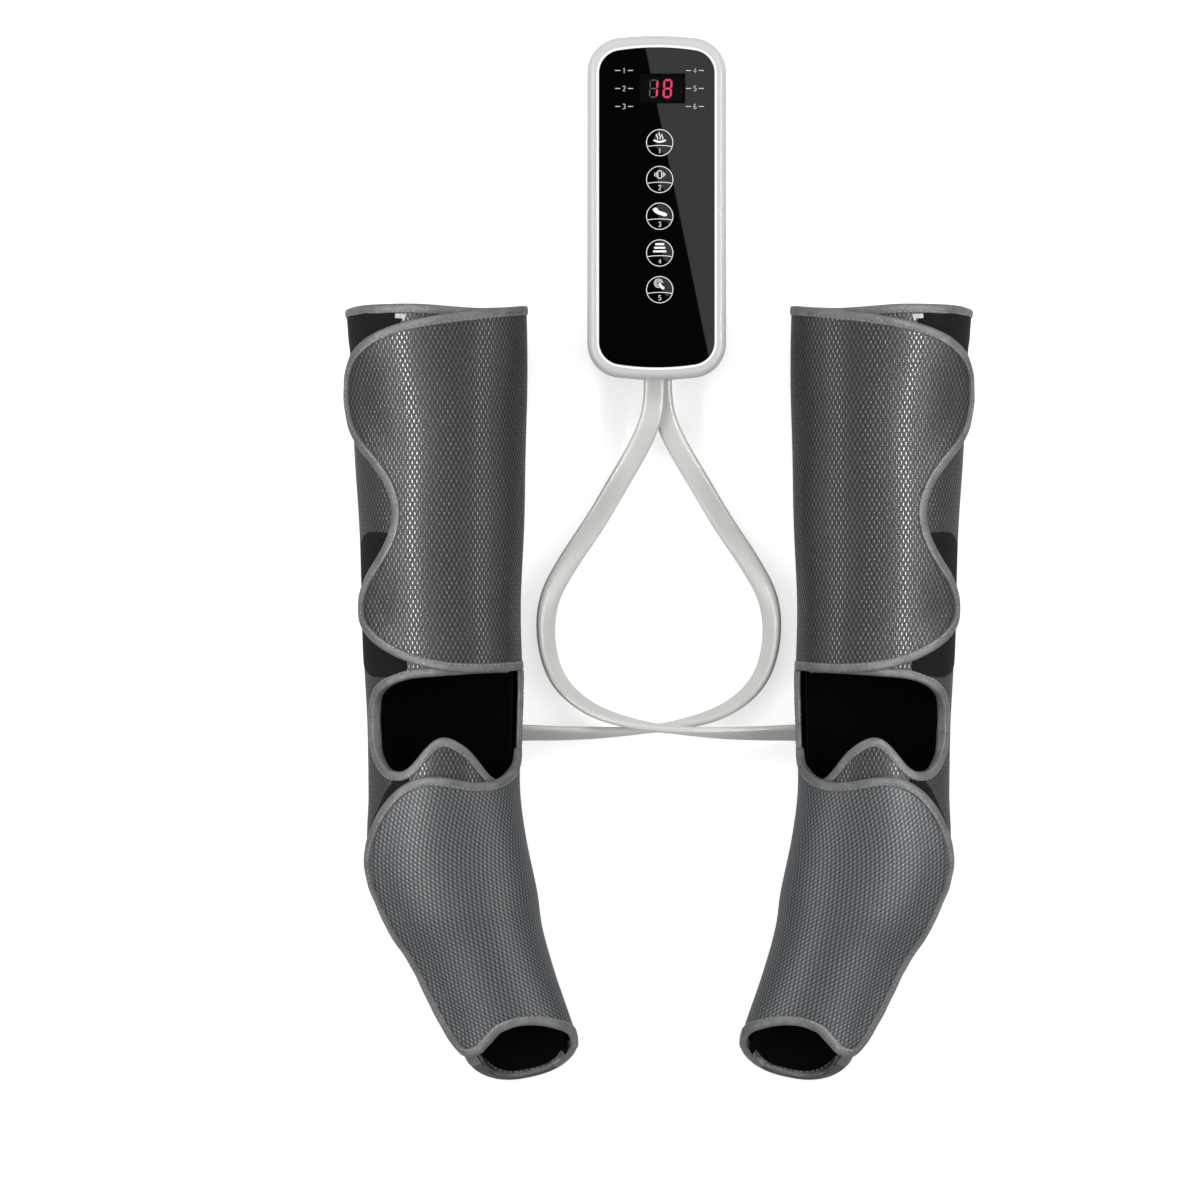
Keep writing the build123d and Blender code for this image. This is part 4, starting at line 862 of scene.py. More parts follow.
def stitch_rows(line, depth_of, stack_of, side, flare=None):
    """Two rows of points on the tape, one on each face of it."""
    places, normals, along, half = edge_frame(line, depth_of, stack_of, flare)
    into = np.cross(normals, along)
    rows = [places + into * STITCH_INSET + normals * (half * way)[:, None] for way in (1, -1)]
    return [row * (side, 1, 1) for row in rows]


def stitch_tree(material):
    """Geometry nodes that set short stitches along every line of a mesh."""
    group = bpy.data.node_groups.new("stitches", "GeometryNodeTree")
    sizes = {"Pitch": STITCH_PITCH, "Length": STITCH_LENGTH, "Thickness": STITCH_THICKNESS}
    group.interface.new_socket("Lines", in_out="INPUT", socket_type="NodeSocketGeometry")
    for name, value in sizes.items():
        socket = group.interface.new_socket(name, in_out="INPUT", socket_type="NodeSocketFloat")
        socket.default_value = value * MM
    group.interface.new_socket("Stitches", in_out="OUTPUT", socket_type="NodeSocketGeometry")

    t = Nodes(group)
    lines, pitch, length, thickness = (t.add("NodeGroupInput", output=name) for name in ("Lines", *sizes))
    curve = t.add("GeometryNodeMeshToCurve", None, {"Mesh": lines}, "Curve")
    spaced = {"Curve": curve, "Length": pitch}
    places = t.add("GeometryNodeResampleCurve", {"mode": "LENGTH"}, spaced, "Curve")
    way = t.add("GeometryNodeInputTangent", output="Tangent")
    turn = t.add("FunctionNodeAlignRotationToVector", {"axis": "Z"}, {"Vector": way}, "Rotation")
    bead = t.add("GeometryNodeMeshUVSphere", None, {"Segments": 6, "Rings": 5, "Radius": 1.0}, "Mesh")
    radius = thickness * 0.5
    size = t.add("ShaderNodeCombineXYZ", None, {0: radius, 1: radius, 2: length * 0.5}, "Vector")
    copies = {"Points": places, "Instance": bead, "Rotation": turn, "Scale": size}
    placed = t.add("GeometryNodeInstanceOnPoints", None, copies, "Instances")
    real = t.add("GeometryNodeRealizeInstances", None, {"Geometry": placed}, "Geometry")
    sewn = t.add("GeometryNodeSetMaterial", None, {"Geometry": real, "Material": material}, "Geometry")
    t.add("NodeGroupOutput", None, {"Stitches": sewn})
    return group


def sew(name, rows, tree):
    """Stitches along rows of points in millimetres, as one plain mesh."""
    points, edges = [], []
    for row in rows:
        first = len(points)
        points += (np.asarray(row) * MM).tolist()
        edges += [(first + i, first + i + 1) for i in range(len(row) - 1)]
    lines = bpy.data.meshes.new(name)
    lines.from_pydata(points, edges, [])
    holder = add_object(name + "_lines", lines)
    holder.modifiers.new("stitches", "NODES").node_group = tree
    bpy.context.view_layer.update()
    made = bpy.data.meshes.new_from_object(holder.evaluated_get(bpy.context.evaluated_depsgraph_get()))
    bpy.data.objects.remove(holder)
    made.name = name
    made.shade_smooth()
    return add_object(name, made)


# ================================================================ one wrap

def left_lines():
    """Edges of the left wrap as rows of (angle, down), each with the cloth on its left."""
    split, right = -HINGE_ANGLE, 360 + HINGE_ANGLE

    def from_fold(line):
        """Part of an edge before the flap's fold ends, and part on the flap itself."""
        beyond = np.nonzero(line[:, 0] >= split)[0]
        free = line[beyond[0]:beyond[-1] + 1].copy()
        free[0, 0] = split
        return line[:beyond[0]], free, line[beyond[-1] + 1:]

    calf_start, calf_free, calf_end = from_fold(edge_line(CALF_FLAP_EDGE))
    calf_free[-1, 0] = split
    foot_start, foot_top, _ = from_fold(edge_line(FOOT_FLAP_EDGE))
    upper = edge_line(HEEL_UPPER_RIM, UNDERLAP_DEPTH, least=UNDERLAP_ANGLE)[::-1]
    tongue = edge_line(HEEL_LOWER_RIM, UNDERLAP_DEPTH, least=UNDERLAP_ANGLE)[::-1]
    toe_flap = toe_line(foot_top[-1, 0], split, flap_depth)
    toe_fold = toe_line(split, HINGE_ANGLE, flap_depth)
    for line in (toe_flap, toe_fold):
        line[:, 1] += np.interp(line[:, 0], *zip(*TOE_LAP))
    outer_side = np.concatenate([foot_top, straight(foot_top[-1], toe_flap[0])[1:]])
    toe_under = toe_line(right, UNDERLAP_ANGLE, panel_depth)
    underlap_foot = straight(toe_under[-1], tongue[0])
    return {
        "calf_free": calf_free,
        "calf_fold_top": np.concatenate([[(HINGE_ANGLE, CALF_FLAP_EDGE[0][0])], calf_start, calf_free[:1]]),
        "calf_fold_bottom": np.concatenate([calf_free[-1:], calf_end, [(HINGE_ANGLE, CALF_END)]]),
        "foot_free": rounded(outer_side, toe_flap, TOE_CORNER),
        "foot_fold_top": np.concatenate([foot_start, foot_top[:1]]),
        "toe_fold": toe_fold,
        "top_rim": evenly(spline_through(TOP_RIM, 1.0), 1.5),
        "inner_rim": straight((360.0, CALF_END), (360.0, foot_start[0, 1])),
        "toe_under": rounded(toe_under, underlap_foot, UNDERLAP_CORNER),
        "heel_rim": rounded(tongue, upper, HEEL_CORNER),
        "underlap_calf": straight(upper[-1], (UNDERLAP_ANGLE, TOP_RIM[0][1])),
    }


def panel_outline(lines):
    """The panel's cloth, from the edge under the flaps round the sole to the hinges."""
    right = 360 + HINGE_ANGLE
    return closed(
        lines["top_rim"],
        straight(lines["top_rim"][-1], (right, CALF_END)),
        lines["inner_rim"],
        straight((360.0, FOOT_START), (right, FOOT_START)),
        straight((right, FOOT_START), lines["toe_under"][0]),
        lines["toe_under"], lines["heel_rim"], lines["underlap_calf"])


def fold_outlines(lines):
    """The strips of the flaps' cloth at their hinges."""
    calf = closed(
        lines["calf_fold_top"],
        straight(lines["calf_fold_top"][-1], lines["calf_fold_bottom"][0]),
        lines["calf_fold_bottom"],
        straight(lines["calf_fold_bottom"][-1], lines["calf_fold_top"][0]))
    foot = closed(
        straight((HINGE_ANGLE, FOOT_START), (0.0, FOOT_START)),
        lines["foot_fold_top"],
        straight(lines["foot_fold_top"][-1], lines["toe_fold"][0]),
        lines["toe_fold"],
        straight(lines["toe_fold"][-1], (HINGE_ANGLE, FOOT_START)))
    return {"calf": calf, "foot": foot}


def rounded_loop(corners, reach):
    """Closed outline through these (angle, down) corners, each rounded from this far off."""
    flat = np.array(corners) * (GRAIN, 1)
    t = np.linspace(0, 1, 8)[:, None]
    around = []
    for before, corner, after in zip(np.roll(flat, 1, axis=0), flat, np.roll(flat, -1, axis=0)):
        start, end = corner + unit(before - corner) * reach, corner + unit(after - corner) * reach
        around.append((1 - t)**2 * start + 2 * t * (1 - t) * corner + t**2 * end)
    return closed(np.concatenate(around) / (GRAIN, 1))


def patch_outline(points, corner):
    """Hook patch or label on the outer side."""
    downs, shares = np.array(points).T
    angles = angle_at(downs, shares, UNDERLAP_DEPTH, limit=HOOK_END_ANGLE)
    return rounded_loop(list(zip(angles, downs)), corner)


def lining_depth(angle):
    return panel_depth(angle) + FABRIC + LAYER_GAP + BAG_ROOM * eased(angle, *BAG_START)


def flap_lining_depth(angle):
    return np.full_like(angle, FLAP + LAYER_GAP)


def panel_stack(angle):
    """Thickness of the panel with its lining, and with the room for the air bags below the leg."""
    bags = BAG_ROOM * eased(angle, *BAG_START) * (1 - eased(angle, *BAG_END))
    return FABRIC + LAYER_GAP + LINING + bags


def inner_stack(angle):
    """Beside the heel opening only the outer cloth is bound."""
    return np.full_like(angle, FABRIC)


def flap_stack(angle):
    return flap_lining_depth(angle) + LINING


def hook_depth(angle):
    return panel_depth(angle) - HOOK + HOOK_SINK


def fold_ends(first, last):
    """Start and end of the bend of a fold that runs between these distances down. The way from one to
    the other is square to the hinge. In metres on the left wrap."""
    hinge = unit(skin(last, 0.0, 0.0) - skin(first, 0.0, 0.0))
    middle, bend = (first + last) / 2, -HINGE_ANGLE - BEND_INSET
    start = skin(middle, -bend, 0.0)
    across = skin(middle, bend, 0.0) - start
    return start * MM, (start + across - hinge * (across @ hinge)) * MM


def cloth_areas(outline):
    """Flat width, length and area of a cut piece, in metres."""
    uv = cloth_uv(outline[:, 1], outline[:, 0]) * MM
    x, y = uv[:, 0], uv[:, 1]
    area = abs(np.sum(x * np.roll(y, -1) - np.roll(x, -1) * y)) / 2
    return (float(np.ptp(x)), float(np.ptp(y))), float(area)


def declare_cloth(outline):
    flat, area = cloth_areas(outline)


def lay_sleeve(lines, side_name, side, finishes):
    """Cloth and lining of both flaps and of the panel. Returns each piece with its outline."""
    cloths = []

    def cloth(name, node, body, outline, depth_of, thickness, finish, **options):
        piece = lay_cloth(name + "_" + side_name, outline, depth_of, thickness, finish, side, **options)
        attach(piece, body)
        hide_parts(node + "_" + side_name)
        cloths.append((piece, outline))

    for part in ("calf", "foot"):
        edge, body = lines[part + "_free"], part + "_flap_" + side_name
        outline = closed(edge, straight(edge[-1], edge[0]))
        cloth(part + "_flap_cloth", part + "_flap", body, outline, flap_depth, FLAP, finishes[part],
              bound=[edge], flare=edge)
        cloth(part + "_flap_inside", part + "_flap_lining", body, outline, flap_lining_depth, LINING,
              finishes["lining"], bound=[edge], flare=edge, spacing=LINING_MESH)
    outline = panel_outline(lines)
    bound = [lines[key] for key in ("top_rim", "toe_under", "heel_rim", "inner_rim")]
    cloth("wrap_panel", "back_panel", "root", outline, panel_depth, FABRIC, finishes["calf"], bound=bound)
    cloth("wrap_inside", "back_lining", "root", outline, lining_depth, LINING, finishes["lining"],
          spacing=LINING_MESH)
    return cloths


def lay_folds(lines, side_name, side, finishes):
    """Strips of cloth, lining and tape at the flaps' hinges. Returns each sheet with its outline."""
    cloths = []
    layers = (("cloth", flap_depth, FLAP, CLOTH_MESH), ("inside", flap_lining_depth, LINING, LINING_MESH))
    reaches = {"calf": (0.0, CALF_END), "foot": (FOOT_START, TOE_DOWN)}
    end_lines = {"calf": lines["calf_fold_bottom"], "foot": lines["toe_fold"]}
    for part, outline in fold_outlines(lines).items():
        start, end = ((float(x) * side, float(y), float(z)) for x, y, z in fold_ends(*reaches[part]))
        for layer, depth_of, thickness, spacing in layers:
            name = "%s_fold_%s_%s" % (part, layer, side_name)
            finish = finishes[part if layer == "cloth" else "lining"]
            piece = lay_cloth(name, outline, depth_of, thickness, finish, side, spacing)
            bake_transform(piece)
            cloths.append((piece, outline))
        for place, line in (("top", lines[part + "_fold_top"]), ("end", end_lines[part])):
            name = "%s_fold_edging_%s_%s" % (part, place, side_name)
            edging = lay_tape(name, line, flap_depth, flap_stack, finishes["tape"], side)
            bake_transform(edging)
    return cloths


def lay_patches(side_name, side, finishes):
    """Three hook patches and the label tab, all on the outer side of the panel."""
    patches = []
    for number, points in enumerate((CALF_PATCH, LOW_PATCH, HEEL_PATCH)):
        name = "hook_%d_%s" % (number, side_name)
        outline = patch_outline(points, PATCH_CORNER)
        patches.append(lay_cloth(name, outline, hook_depth, HOOK, finishes["hook"], side))
    hooks = join("hook_patches_cloth_" + side_name, patches)
    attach(hooks, "root")
    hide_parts("hook_patches_" + side_name)
    outline = patch_outline(LABEL_TAB, LABEL_CORNER)
    tab = lay_cloth("label_tab_" + side_name, outline, hook_depth, HOOK, finishes["label"], side, LABEL_MESH)
    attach(tab, "root")


def toe_tapes(line, finishes):
    """Runs of tape along the toe edge: darker under the sole, as painted shade, and grey before and after."""
    # The middle run, under the sole, gets the tape that is darkened as painted shade.
    first, last = (int(np.argmin(np.abs(line[:, 0] - angle))) for angle in PAINTED_SHADE_TAPE_ANGLES)
    tape = finishes["tape"]
    return [(line[:first + 1], tape), (line[first:last + 1], finishes["painted_shade_tape"]), (line[last:], tape)]


def bind_edges(lines, side_name, side, finishes, stitches):
    """Tape and stitches along the free edges of the panel and of both flaps."""
    edges = {"root": [(key, panel_depth, inner_stack if key == "inner_rim" else panel_stack, None)
                      for key in ("top_rim", "inner_rim", "toe_under", "heel_rim", "underlap_calf")]}
    for part in ("calf", "foot"):
        key = part + "_free"
        edges[part + "_flap_" + side_name] = [(key, flap_depth, flap_stack, lines[key])]
    for body, rows in edges.items():
        part = body.replace("_" + side_name, "")
        pieces, threads = [], []
        for key, depth_of, stack_of, flare in rows:
            whole = [(lines[key], finishes["tape"])]
            runs = toe_tapes(lines[key], finishes) if key == "toe_under" else whole
            for number, (line, finish) in enumerate(runs):
                name = "%s_%d_%s" % (key, number, side_name)
                pieces.append(lay_tape(name, line, depth_of, stack_of, finish, side, flare))
                threads += stitch_rows(line, depth_of, stack_of, side, flare)
        edging = join(part + "_edging_" + side_name, pieces)
        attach(edging, body)
        seams = sew(part + "_stitches_" + side_name, threads, stitches)
        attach(seams, body)


def make_wrap(side_name, side, finishes, stitches):
    """All cloth, patches, tape and stitches of one wrap."""
    lines = left_lines()
    cloths = lay_sleeve(lines, side_name, side, finishes) + lay_folds(lines, side_name, side, finishes)
    lay_patches(side_name, side, finishes)
    bind_edges(lines, side_name, side, finishes, stitches)
    for piece, outline in cloths:
        declare_cloth(outline)


# ================================================================ hoses

def route_points(name, route):
    """Points in metres on the smooth curve that has the route's points as its control points."""
    data = bpy.data.curves.new(name, "CURVE")
    data.dimensions = "3D"
    data.resolution_u = 14
    spline = data.splines.new("NURBS")
    spline.points.add(len(route) - 1)
    for point, place in zip(spline.points, route):
        point.co = (place[0] * MM, place[1] * MM, place[2] * MM, 1.0)
    spline.order_u = 3
    spline.use_endpoint_u = True
    holder = add_object(name, data)
    bpy.context.view_layer.update()
    mesh = bpy.data.meshes.new_from_object(holder)
    places = np.array([vertex.co for vertex in mesh.vertices])
    bpy.data.meshes.remove(mesh)
    bpy.data.objects.remove(holder)
    return places


def hose_section():
    """Flat tube's outline: across and over it."""
    turn = np.radians(np.arange(0, 360, 10))
    half, thick = HOSE_WIDTH / 2, HOSE_THICKNESS / 2
    c, s = np.cos(turn), np.sin(turn)
    across = half * np.sign(c) * np.abs(c) ** HOSE_SQUARENESS[0]
    over = thick * np.sign(s) * np.abs(s) ** HOSE_SQUARENESS[1]
    return across, over


def make_hose(side_name, way, route, finish):
    """Flat hose to the wrap on this side, from the grommet to the port. It leans over this way."""
    places = route_points("route_" + side_name, route)
    length = distance_along(places)
    lean_at, leans = zip(*HOSE_LEAN)
    lean = np.radians(np.interp(length / length[-1], lean_at, leans)) * way
    along = unit(np.gradient(places, axis=0))
    across = unit(np.cross(along, (0.0, 0.0, 1.0)))
    over = np.cross(across, along)
    turned = across * np.cos(lean)[:, None] + over * np.sin(lean)[:, None]
    raised = over * np.cos(lean)[:, None] - across * np.sin(lean)[:, None]
    wide, high = hose_section()
    ring = len(wide)
    points, uv = [], []
    for i, place in enumerate(places):
        points.append(place / MM + turned[i] * wide[:, None] + raised[i] * high[:, None])
        uv.append(np.stack([np.arange(ring), np.full(ring, length[i] / MM)], axis=1))
    faces = tube_faces(len(places), ring, turned=True)
    hose = make_mesh("hose_" + side_name, np.concatenate(points), faces, finish, 1, np.concatenate(uv))
    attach(hose, "root")
    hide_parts("air_hose_" + side_name)


# ================================================================ printing on the controller

def plate(outline, low, high):
    """Thin plate with this outline: points and faces."""
    outline = np.asarray(outline, float)
    count = len(outline)
    area = np.sum(outline[:, 0] * np.roll(outline[:, 1], -1) - np.roll(outline[:, 0], -1) * outline[:, 1])
    if area < 0:
        outline = outline[::-1]
    points = [(x, y, z) for z in (low, high) for x, y in outline]
    faces = [tuple(reversed(range(count))), tuple(range(count, 2 * count))]
    faces += [(i, (i + 1) % count, (i + 1) % count + count, i + count) for i in range(count)]
    return points, faces


def stroke(line, width, low, high, loop=False):
    """Thin plate that follows a line: points and faces."""
    line = np.asarray(line, float)
    if loop:
        along = unit(np.roll(line, -1, axis=0) - np.roll(line, 1, axis=0))
    else:
        along = unit(np.gradient(line, axis=0))
    side = np.stack([-along[:, 1], along[:, 0]], axis=1) * width / 2
    count = len(line)
    points = []
    for offset, z in ((side, low), (-side, low), (-side, high), (side, high)):
        points += [(x, y, z) for x, y in line + offset]
    faces = []
    for i in range(count if loop else count - 1):
        j = (i + 1) % count
        for k in range(4):
            a, b = k * count, (k + 1) % 4 * count
            faces.append((a + i, b + i, b + j, a + j))
    if not loop:
        faces.append(tuple(k * count for k in (3, 2, 1, 0)))
        faces.append(tuple(k * count + count - 1 for k in range(4)))
    return points, faces


def arc(middle, radius, start, end, steps=24):
    """Points on an arc between two angles in degrees."""
    turn = np.radians(np.linspace(start, end, steps))
    return np.stack([middle[0] + radius * np.cos(turn), middle[1] + radius * np.sin(turn)], axis=1)


def circle(middle, radius, steps=64):
    return arc(middle, radius, 0, 360 - 360 / steps, steps)


def box_line(middle, width, height, corner):
    """Rounded rectangle, as a line of points."""
    w, h = width / 2 - corner, height / 2 - corner
    corners = ((w, h, 0), (-w, h, 90), (-w, -h, 180), (w, -h, 270))
    return np.concatenate([arc((middle[0] + x, middle[1] + y), corner, a, a + 90, 6) for x, y, a in corners])


# Plain numerals on a grid two wide and four high
NUMERALS = {
    1: [(0.5, 3.3), (1.1, 4), (1.1, 0)],
    2: [(0, 3.2), (0.4, 3.8), (1, 4), (1.6, 3.8), (2, 3.1), (1.7, 2.2), (0, 0), (2, 0)],
    3: [(0, 3.6), (1, 4), (1.8, 3.6), (1.8, 2.6), (0.9, 2.1), (1.9, 1.6), (2, 0.7), (1, 0), (0, 0.4)],
    4: [(1.5, 0), (1.5, 4), (0, 1.2), (2.1, 1.2)],
    5: [(1.9, 4), (0.3, 4), (0.2, 2.3), (1.2, 2.5), (2, 1.9), (2, 0.7), (1.1, 0), (0, 0.4)],
    6: [(1.7, 3.9), (0.8, 3.6), (0.1, 2.3), (0, 1), (0.7, 0.1), (1.5, 0.1), (2, 1), (1.6, 2.1),
        (0.8, 2.2), (0.1, 1.5)],
}


def numeral(value, middle, height, width):
    """Line of a plain numeral, drawn this wide."""
    scale = height / 4
    line = [((x - 1) * scale + middle[0], (y - 2) * scale + middle[1]) for x, y in NUMERALS[value]]
    return [("line", line, width)]


def heat_sign(x, y):
    """Three waves over a dish."""
    waves = []
    for shift, length in ((-1.7, 3.4), (0.0, 4.6), (1.7, 3.4)):
        t = np.linspace(0, 1, 12)
        wave = np.stack([x + shift + 0.5 * np.sin(t * 2 * math.pi), y + 2.2 + t * length], axis=1)
        waves.append(("line", wave, 0.6))
    dish = np.concatenate([arc((x, y + 7.4), 7.4, 234, 306, 16), arc((x, y + 7.2), 6.0, 304, 236, 12)])
    return waves + [("fill", dish)]


def vibration_sign(x, y):
    """A box with two short lines on each side."""
    sign = [("loop", box_line((x, y + 3.2), 2.6, 4.8, 0.7), 0.5)]
    for way in (-1, 1):
        sign.append(("line", [(x + way * 2.3, y + 4.8), (x + way * 2.3, y + 1.6)], 0.5))
        sign.append(("line", [(x + way * 3.3, y + 4.2), (x + way * 3.3, y + 2.2)], 0.45))
    return sign


def boot_sign(x, y):
    """Plain low shape of a foot."""
    boot = [(-4.6, 3.6), (-2.2, 4.6), (-0.6, 2.7), (1.6, 1.9), (4.0, 0.9), (4.9, 0.1), (4.4, -0.7),
            (1.2, -0.5), (-1.6, 0.5), (-3.6, 1.9)]
    outline = spline_through(boot + boot[:1], 0.5)[:-1]
    return [("fill", outline + (x, y + 1.0))]


def bars_sign(x, y):
    """Three bars, each wider than the one over it."""
    return [("fill", box_line((x, y + 5.7 - 2.35 * row), 5.8 + 1.4 * row, 1.3, 0.12)) for row in range(3)]


def touch_sign(x, y):
    """A fingertip in open rings."""
    sign = [("line", arc((x - 0.8, y + 4.2), radius, 5, 285, 26), 0.36) for radius in (1.2, 2.0, 2.8)]
    finger = [(-0.9, 2.9), (-0.2, 3.2), (2.0, 1.0), (3.1, 0.2), (2.4, -1.2), (1.0, -0.6), (-0.1, 0.9)]
    outline = spline_through(finger + finger[:1], 0.4)[:-1]
    return sign + [("fill", outline + (x, y + 1.3))]


def print_signs(name, signs, body, finish, level=PANEL_TOP, thickness=INK):
    """One object of thin raised printing."""
    points, faces = [], []
    for sign in signs:
        low, high = level - INK_SINK, level + thickness
        if sign[0] == "fill":
            made, sides = plate(sign[1], low, high)
        else:
            made, sides = stroke(sign[1], sign[2], low, high, loop=sign[0] == "loop")
        faces += [tuple(i + len(points) for i in face) for face in sides]
        points += made
    piece = make_mesh(name, points, faces, finish, crease=PRINT_CREASE)
    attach(piece, body)
    return piece


def top_outline(node):
    """Outer edge of a node's flat top, as a line in millimetres."""
    bm = bmesh.new()
    bm.from_mesh(frame["nodes"][node].data)
    bmesh.ops.remove_doubles(bm, verts=bm.verts, dist=SAME_POINT * MM)
    level = max(v.co.z for v in bm.verts) - 0.01 * MM
    top = [face for face in bm.faces if all(v.co.z > level for v in face.verts)]
    all_top = set(top)
    following = {}
    for face in top:
        for loop in face.loops:
            if all(other is face or other not in all_top for other in loop.edge.link_faces):
                following[loop.vert] = loop.link_loop_next.vert
    longest = []
    while following:
        vert = next(iter(following))
        line = []
        while vert in following:
            line.append((vert.co.x / MM, vert.co.y / MM))
            vert = following.pop(vert)
        if len(line) > len(longest):
            longest = line
    bm.free()
    ring = np.array(longest)
    return evenly(np.concatenate([ring, ring[:1]]), 1.0)[:-1]


def make_panel_lip(finish):
    """Lip of the bezel that stands round the panel, painted lighter than the bezel as a highlight."""
    line = top_outline("touch_panel")
    along = unit(np.roll(line, -1, axis=0) - np.roll(line, 1, axis=0))
    away = np.stack([along[:, 1], -along[:, 0]], axis=1)
    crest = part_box("front_bezel")[1][2] / MM
    middle = line + away * (RIM_WIDTH / 2 + RIM_GAP)
    print_signs("panel_lip", [("loop", middle, RIM_WIDTH)], "root", finish, crest, RIM_RISE)


def middle_of(node):
    """Middle of a node as seen from above, in millimetres."""
    low, high = np.array(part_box(node)) / MM
    return (low[0] + high[0]) / 2, (low[1] + high[1]) / 2


def print_keys(finish):
    """Ring, dividing arc, sign and numeral of each key."""
    signs = (heat_sign, vibration_sign, boot_sign, bars_sign, touch_sign)
    t = np.linspace(-1, 1, 20)
    across = t * math.sqrt(RING_RADIUS**2 - DIVIDER_DROP**2)
    bow = DIVIDER_RISE * (1 - t**2) - DIVIDER_SINK
    for row, sign in enumerate(signs, start=1):
        x, y = middle_of("key_%d" % row)
        divider = np.stack([x + across, y - DIVIDER_DROP + bow], axis=1)
        marks = [("loop", circle((x, y), RING_RADIUS), RING_LINE), ("line", divider, DIVIDER_LINE)]
        marks += sign(x, y) + numeral(row, (x, y - KEY_NUMERAL_DROP), *KEY_NUMERAL)
        print_signs("key_print_%d" % row, marks, "key_%d" % row, finish)


def print_side_marks(finish):
    """Numbered lamps on both sides of the display."""
    marks = []
    _, display_y = middle_of("display_window")
    for x, first in MARK_COLUMNS:
        for row in range(3):
            y = display_y + MARK_PITCH * (1 - row)
            marks += numeral(first + row, (x, y), *MARK_NUMERAL)
            marks += [("fill", box_line((x + way * MARK_DASH_OFF, y), *MARK_DASH)) for way in (-1, 1)]
    print_signs("side_marks", marks, "root", finish)


# ================================================================ display

def digit_bars(middle):
    """The seven bars of a digit, each pointed at its ends: name and outline."""
    w, h, s = DIGIT_WIDTH / 2, DIGIT_HEIGHT / 2, DIGIT_STROKE / 2
    bars = {}
    for name, x, y, length, upright in (
            ("top", 0, h - s, 2 * (w - s), False), ("middle", 0, 0, 2 * (w - s), False),
            ("bottom", 0, s - h, 2 * (w - s), False),
            ("upper left", s - w, (h - s) / 2, h - s, True), ("lower left", s - w, (s - h) / 2, h - s, True),
            ("upper right", w - s, (h - s) / 2, h - s, True),
            ("lower right", w - s, (s - h) / 2, h - s, True)):
        half = length / 2 - BAR_GAP
        shape = [(-half, 0), (-half + s, s), (half - s, s), (half, 0), (half - s, -s), (-half + s, -s)]
        if upright:
            shape = [(-b, a) for a, b in shape]
        placed = [(x + a, y + b) for a, b in shape]
        bars[name] = [(middle[0] + a + DIGIT_SLANT * b, middle[1] + b) for a, b in placed]
    return bars


def make_display(lit, unlit):
    """Two digits: the number shines, and the other bars of its tens show faintly."""
    key_x, _ = middle_of("key_1")
    _, y = middle_of("display_window")
    tens, ones = (digit_bars((key_x + x, y)) for x in DIGITS_X)
    shown = [tens.pop(name) for name in ("upper right", "lower right")] + list(ones.values())
    shining = print_signs("digits_lit", [("fill", bar) for bar in shown], "root", lit, LED_TOP, LIT_RISE)
    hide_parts("display_segments")
    faint = []
    for name, bar in tens.items():
        middle = np.mean(bar, axis=0)
        scale = (UNLIT_ACROSS, UNLIT_ALONG) if "left" in name else (UNLIT_ALONG, UNLIT_ACROSS)
        faint.append(("fill", (np.array(bar) - middle) * scale + middle))
    print_signs("digits_unlit", faint, "root", unlit, LED_TOP, UNLIT_RISE)


# ================================================================ CAD pieces that stay

def paint(node, material):
    """Give a CAD piece its finish."""
    piece = frame["nodes"][node]
    piece.data.materials.clear()
    piece.data.materials.append(material)


# ================================================================ room and light

def ray(f, *kinds):
    """1 for a ray of one of these kinds, else 0."""
    path = f.add("ShaderNodeLightPath")
    share = Amount(f, path.outputs[kinds[0]])
    for kind in kinds[1:]:
        share = share.maths("MAXIMUM", Amount(f, path.outputs[kind]))
    return share


def make_room():
    """Pale floor, and even light all round that the camera sees as white."""
    floor = bpy.data.meshes.new("floor")
    corners = [(x * FLOOR_REACH, y * FLOOR_REACH, 0) for x, y in ((-1, -1), (1, -1), (1, 1), (-1, 1))]
    floor.from_pydata(corners, [], [(0, 1, 2, 3)])
    f = Finish("pale_floor")
    colour = f.mix(f.noise(400.0), grey(0.80), grey(0.84))
    matte = f.add("ShaderNodeBsdfDiffuse", None, {"Color": colour}, "BSDF")
    glow = f.add("ShaderNodeEmission", None, {"Color": grey(1.0), "Strength": FLOOR_GLOW}, "Emission")
    lifted = f.add("ShaderNodeAddShader", None, {0: matte, 1: glow}, "Shader")
    seen = ray(f, "Is Camera Ray", "Is Transmission Ray")
    shader = f.add("ShaderNodeMixShader", None, {0: seen, 1: matte, 2: lifted}, "Shader")
    f.add("ShaderNodeOutputMaterial", None, {"Surface": shader})
    floor.materials.append(f.material)
    piece = add_object("floor", floor)
    piece.location.z = FLOOR_LEVEL

    world = bpy.data.worlds.new("room")
    w = Finish("room", world)
    shown = ray(w, "Is Camera Ray", "Is Transmission Ray", "Is Glossy Ray")
    levels = {"Value": shown, "To Min": WORLD_LIGHT, "To Max": 1.0}
    strength = w.add("ShaderNodeMapRange", None, levels, "Result")
    light = w.add("ShaderNodeBackground", None, {"Color": grey(1.0), "Strength": strength}, "Background")
    w.add("ShaderNodeOutputWorld", None, {"Surface": light})
    bpy.context.scene.world = world


def add_lamp(name, place, towards, width, length, power, spread=180.0, diffuse=True):
    data = bpy.data.lights.new(name, "AREA")
    data.shape = "RECTANGLE"
    data.size, data.size_y = width, length
    data.energy = power
    data.spread = math.radians(spread)
    lamp = bpy.data.objects.new(name, data)
    lamp.location = place
    lamp.rotation_euler = (Vector(towards) - Vector(place)).to_track_quat("-Z", "Y").to_euler()
    lamp.visible_camera = False
    lamp.visible_diffuse = diffuse
    bpy.context.scene.collection.objects.link(lamp)


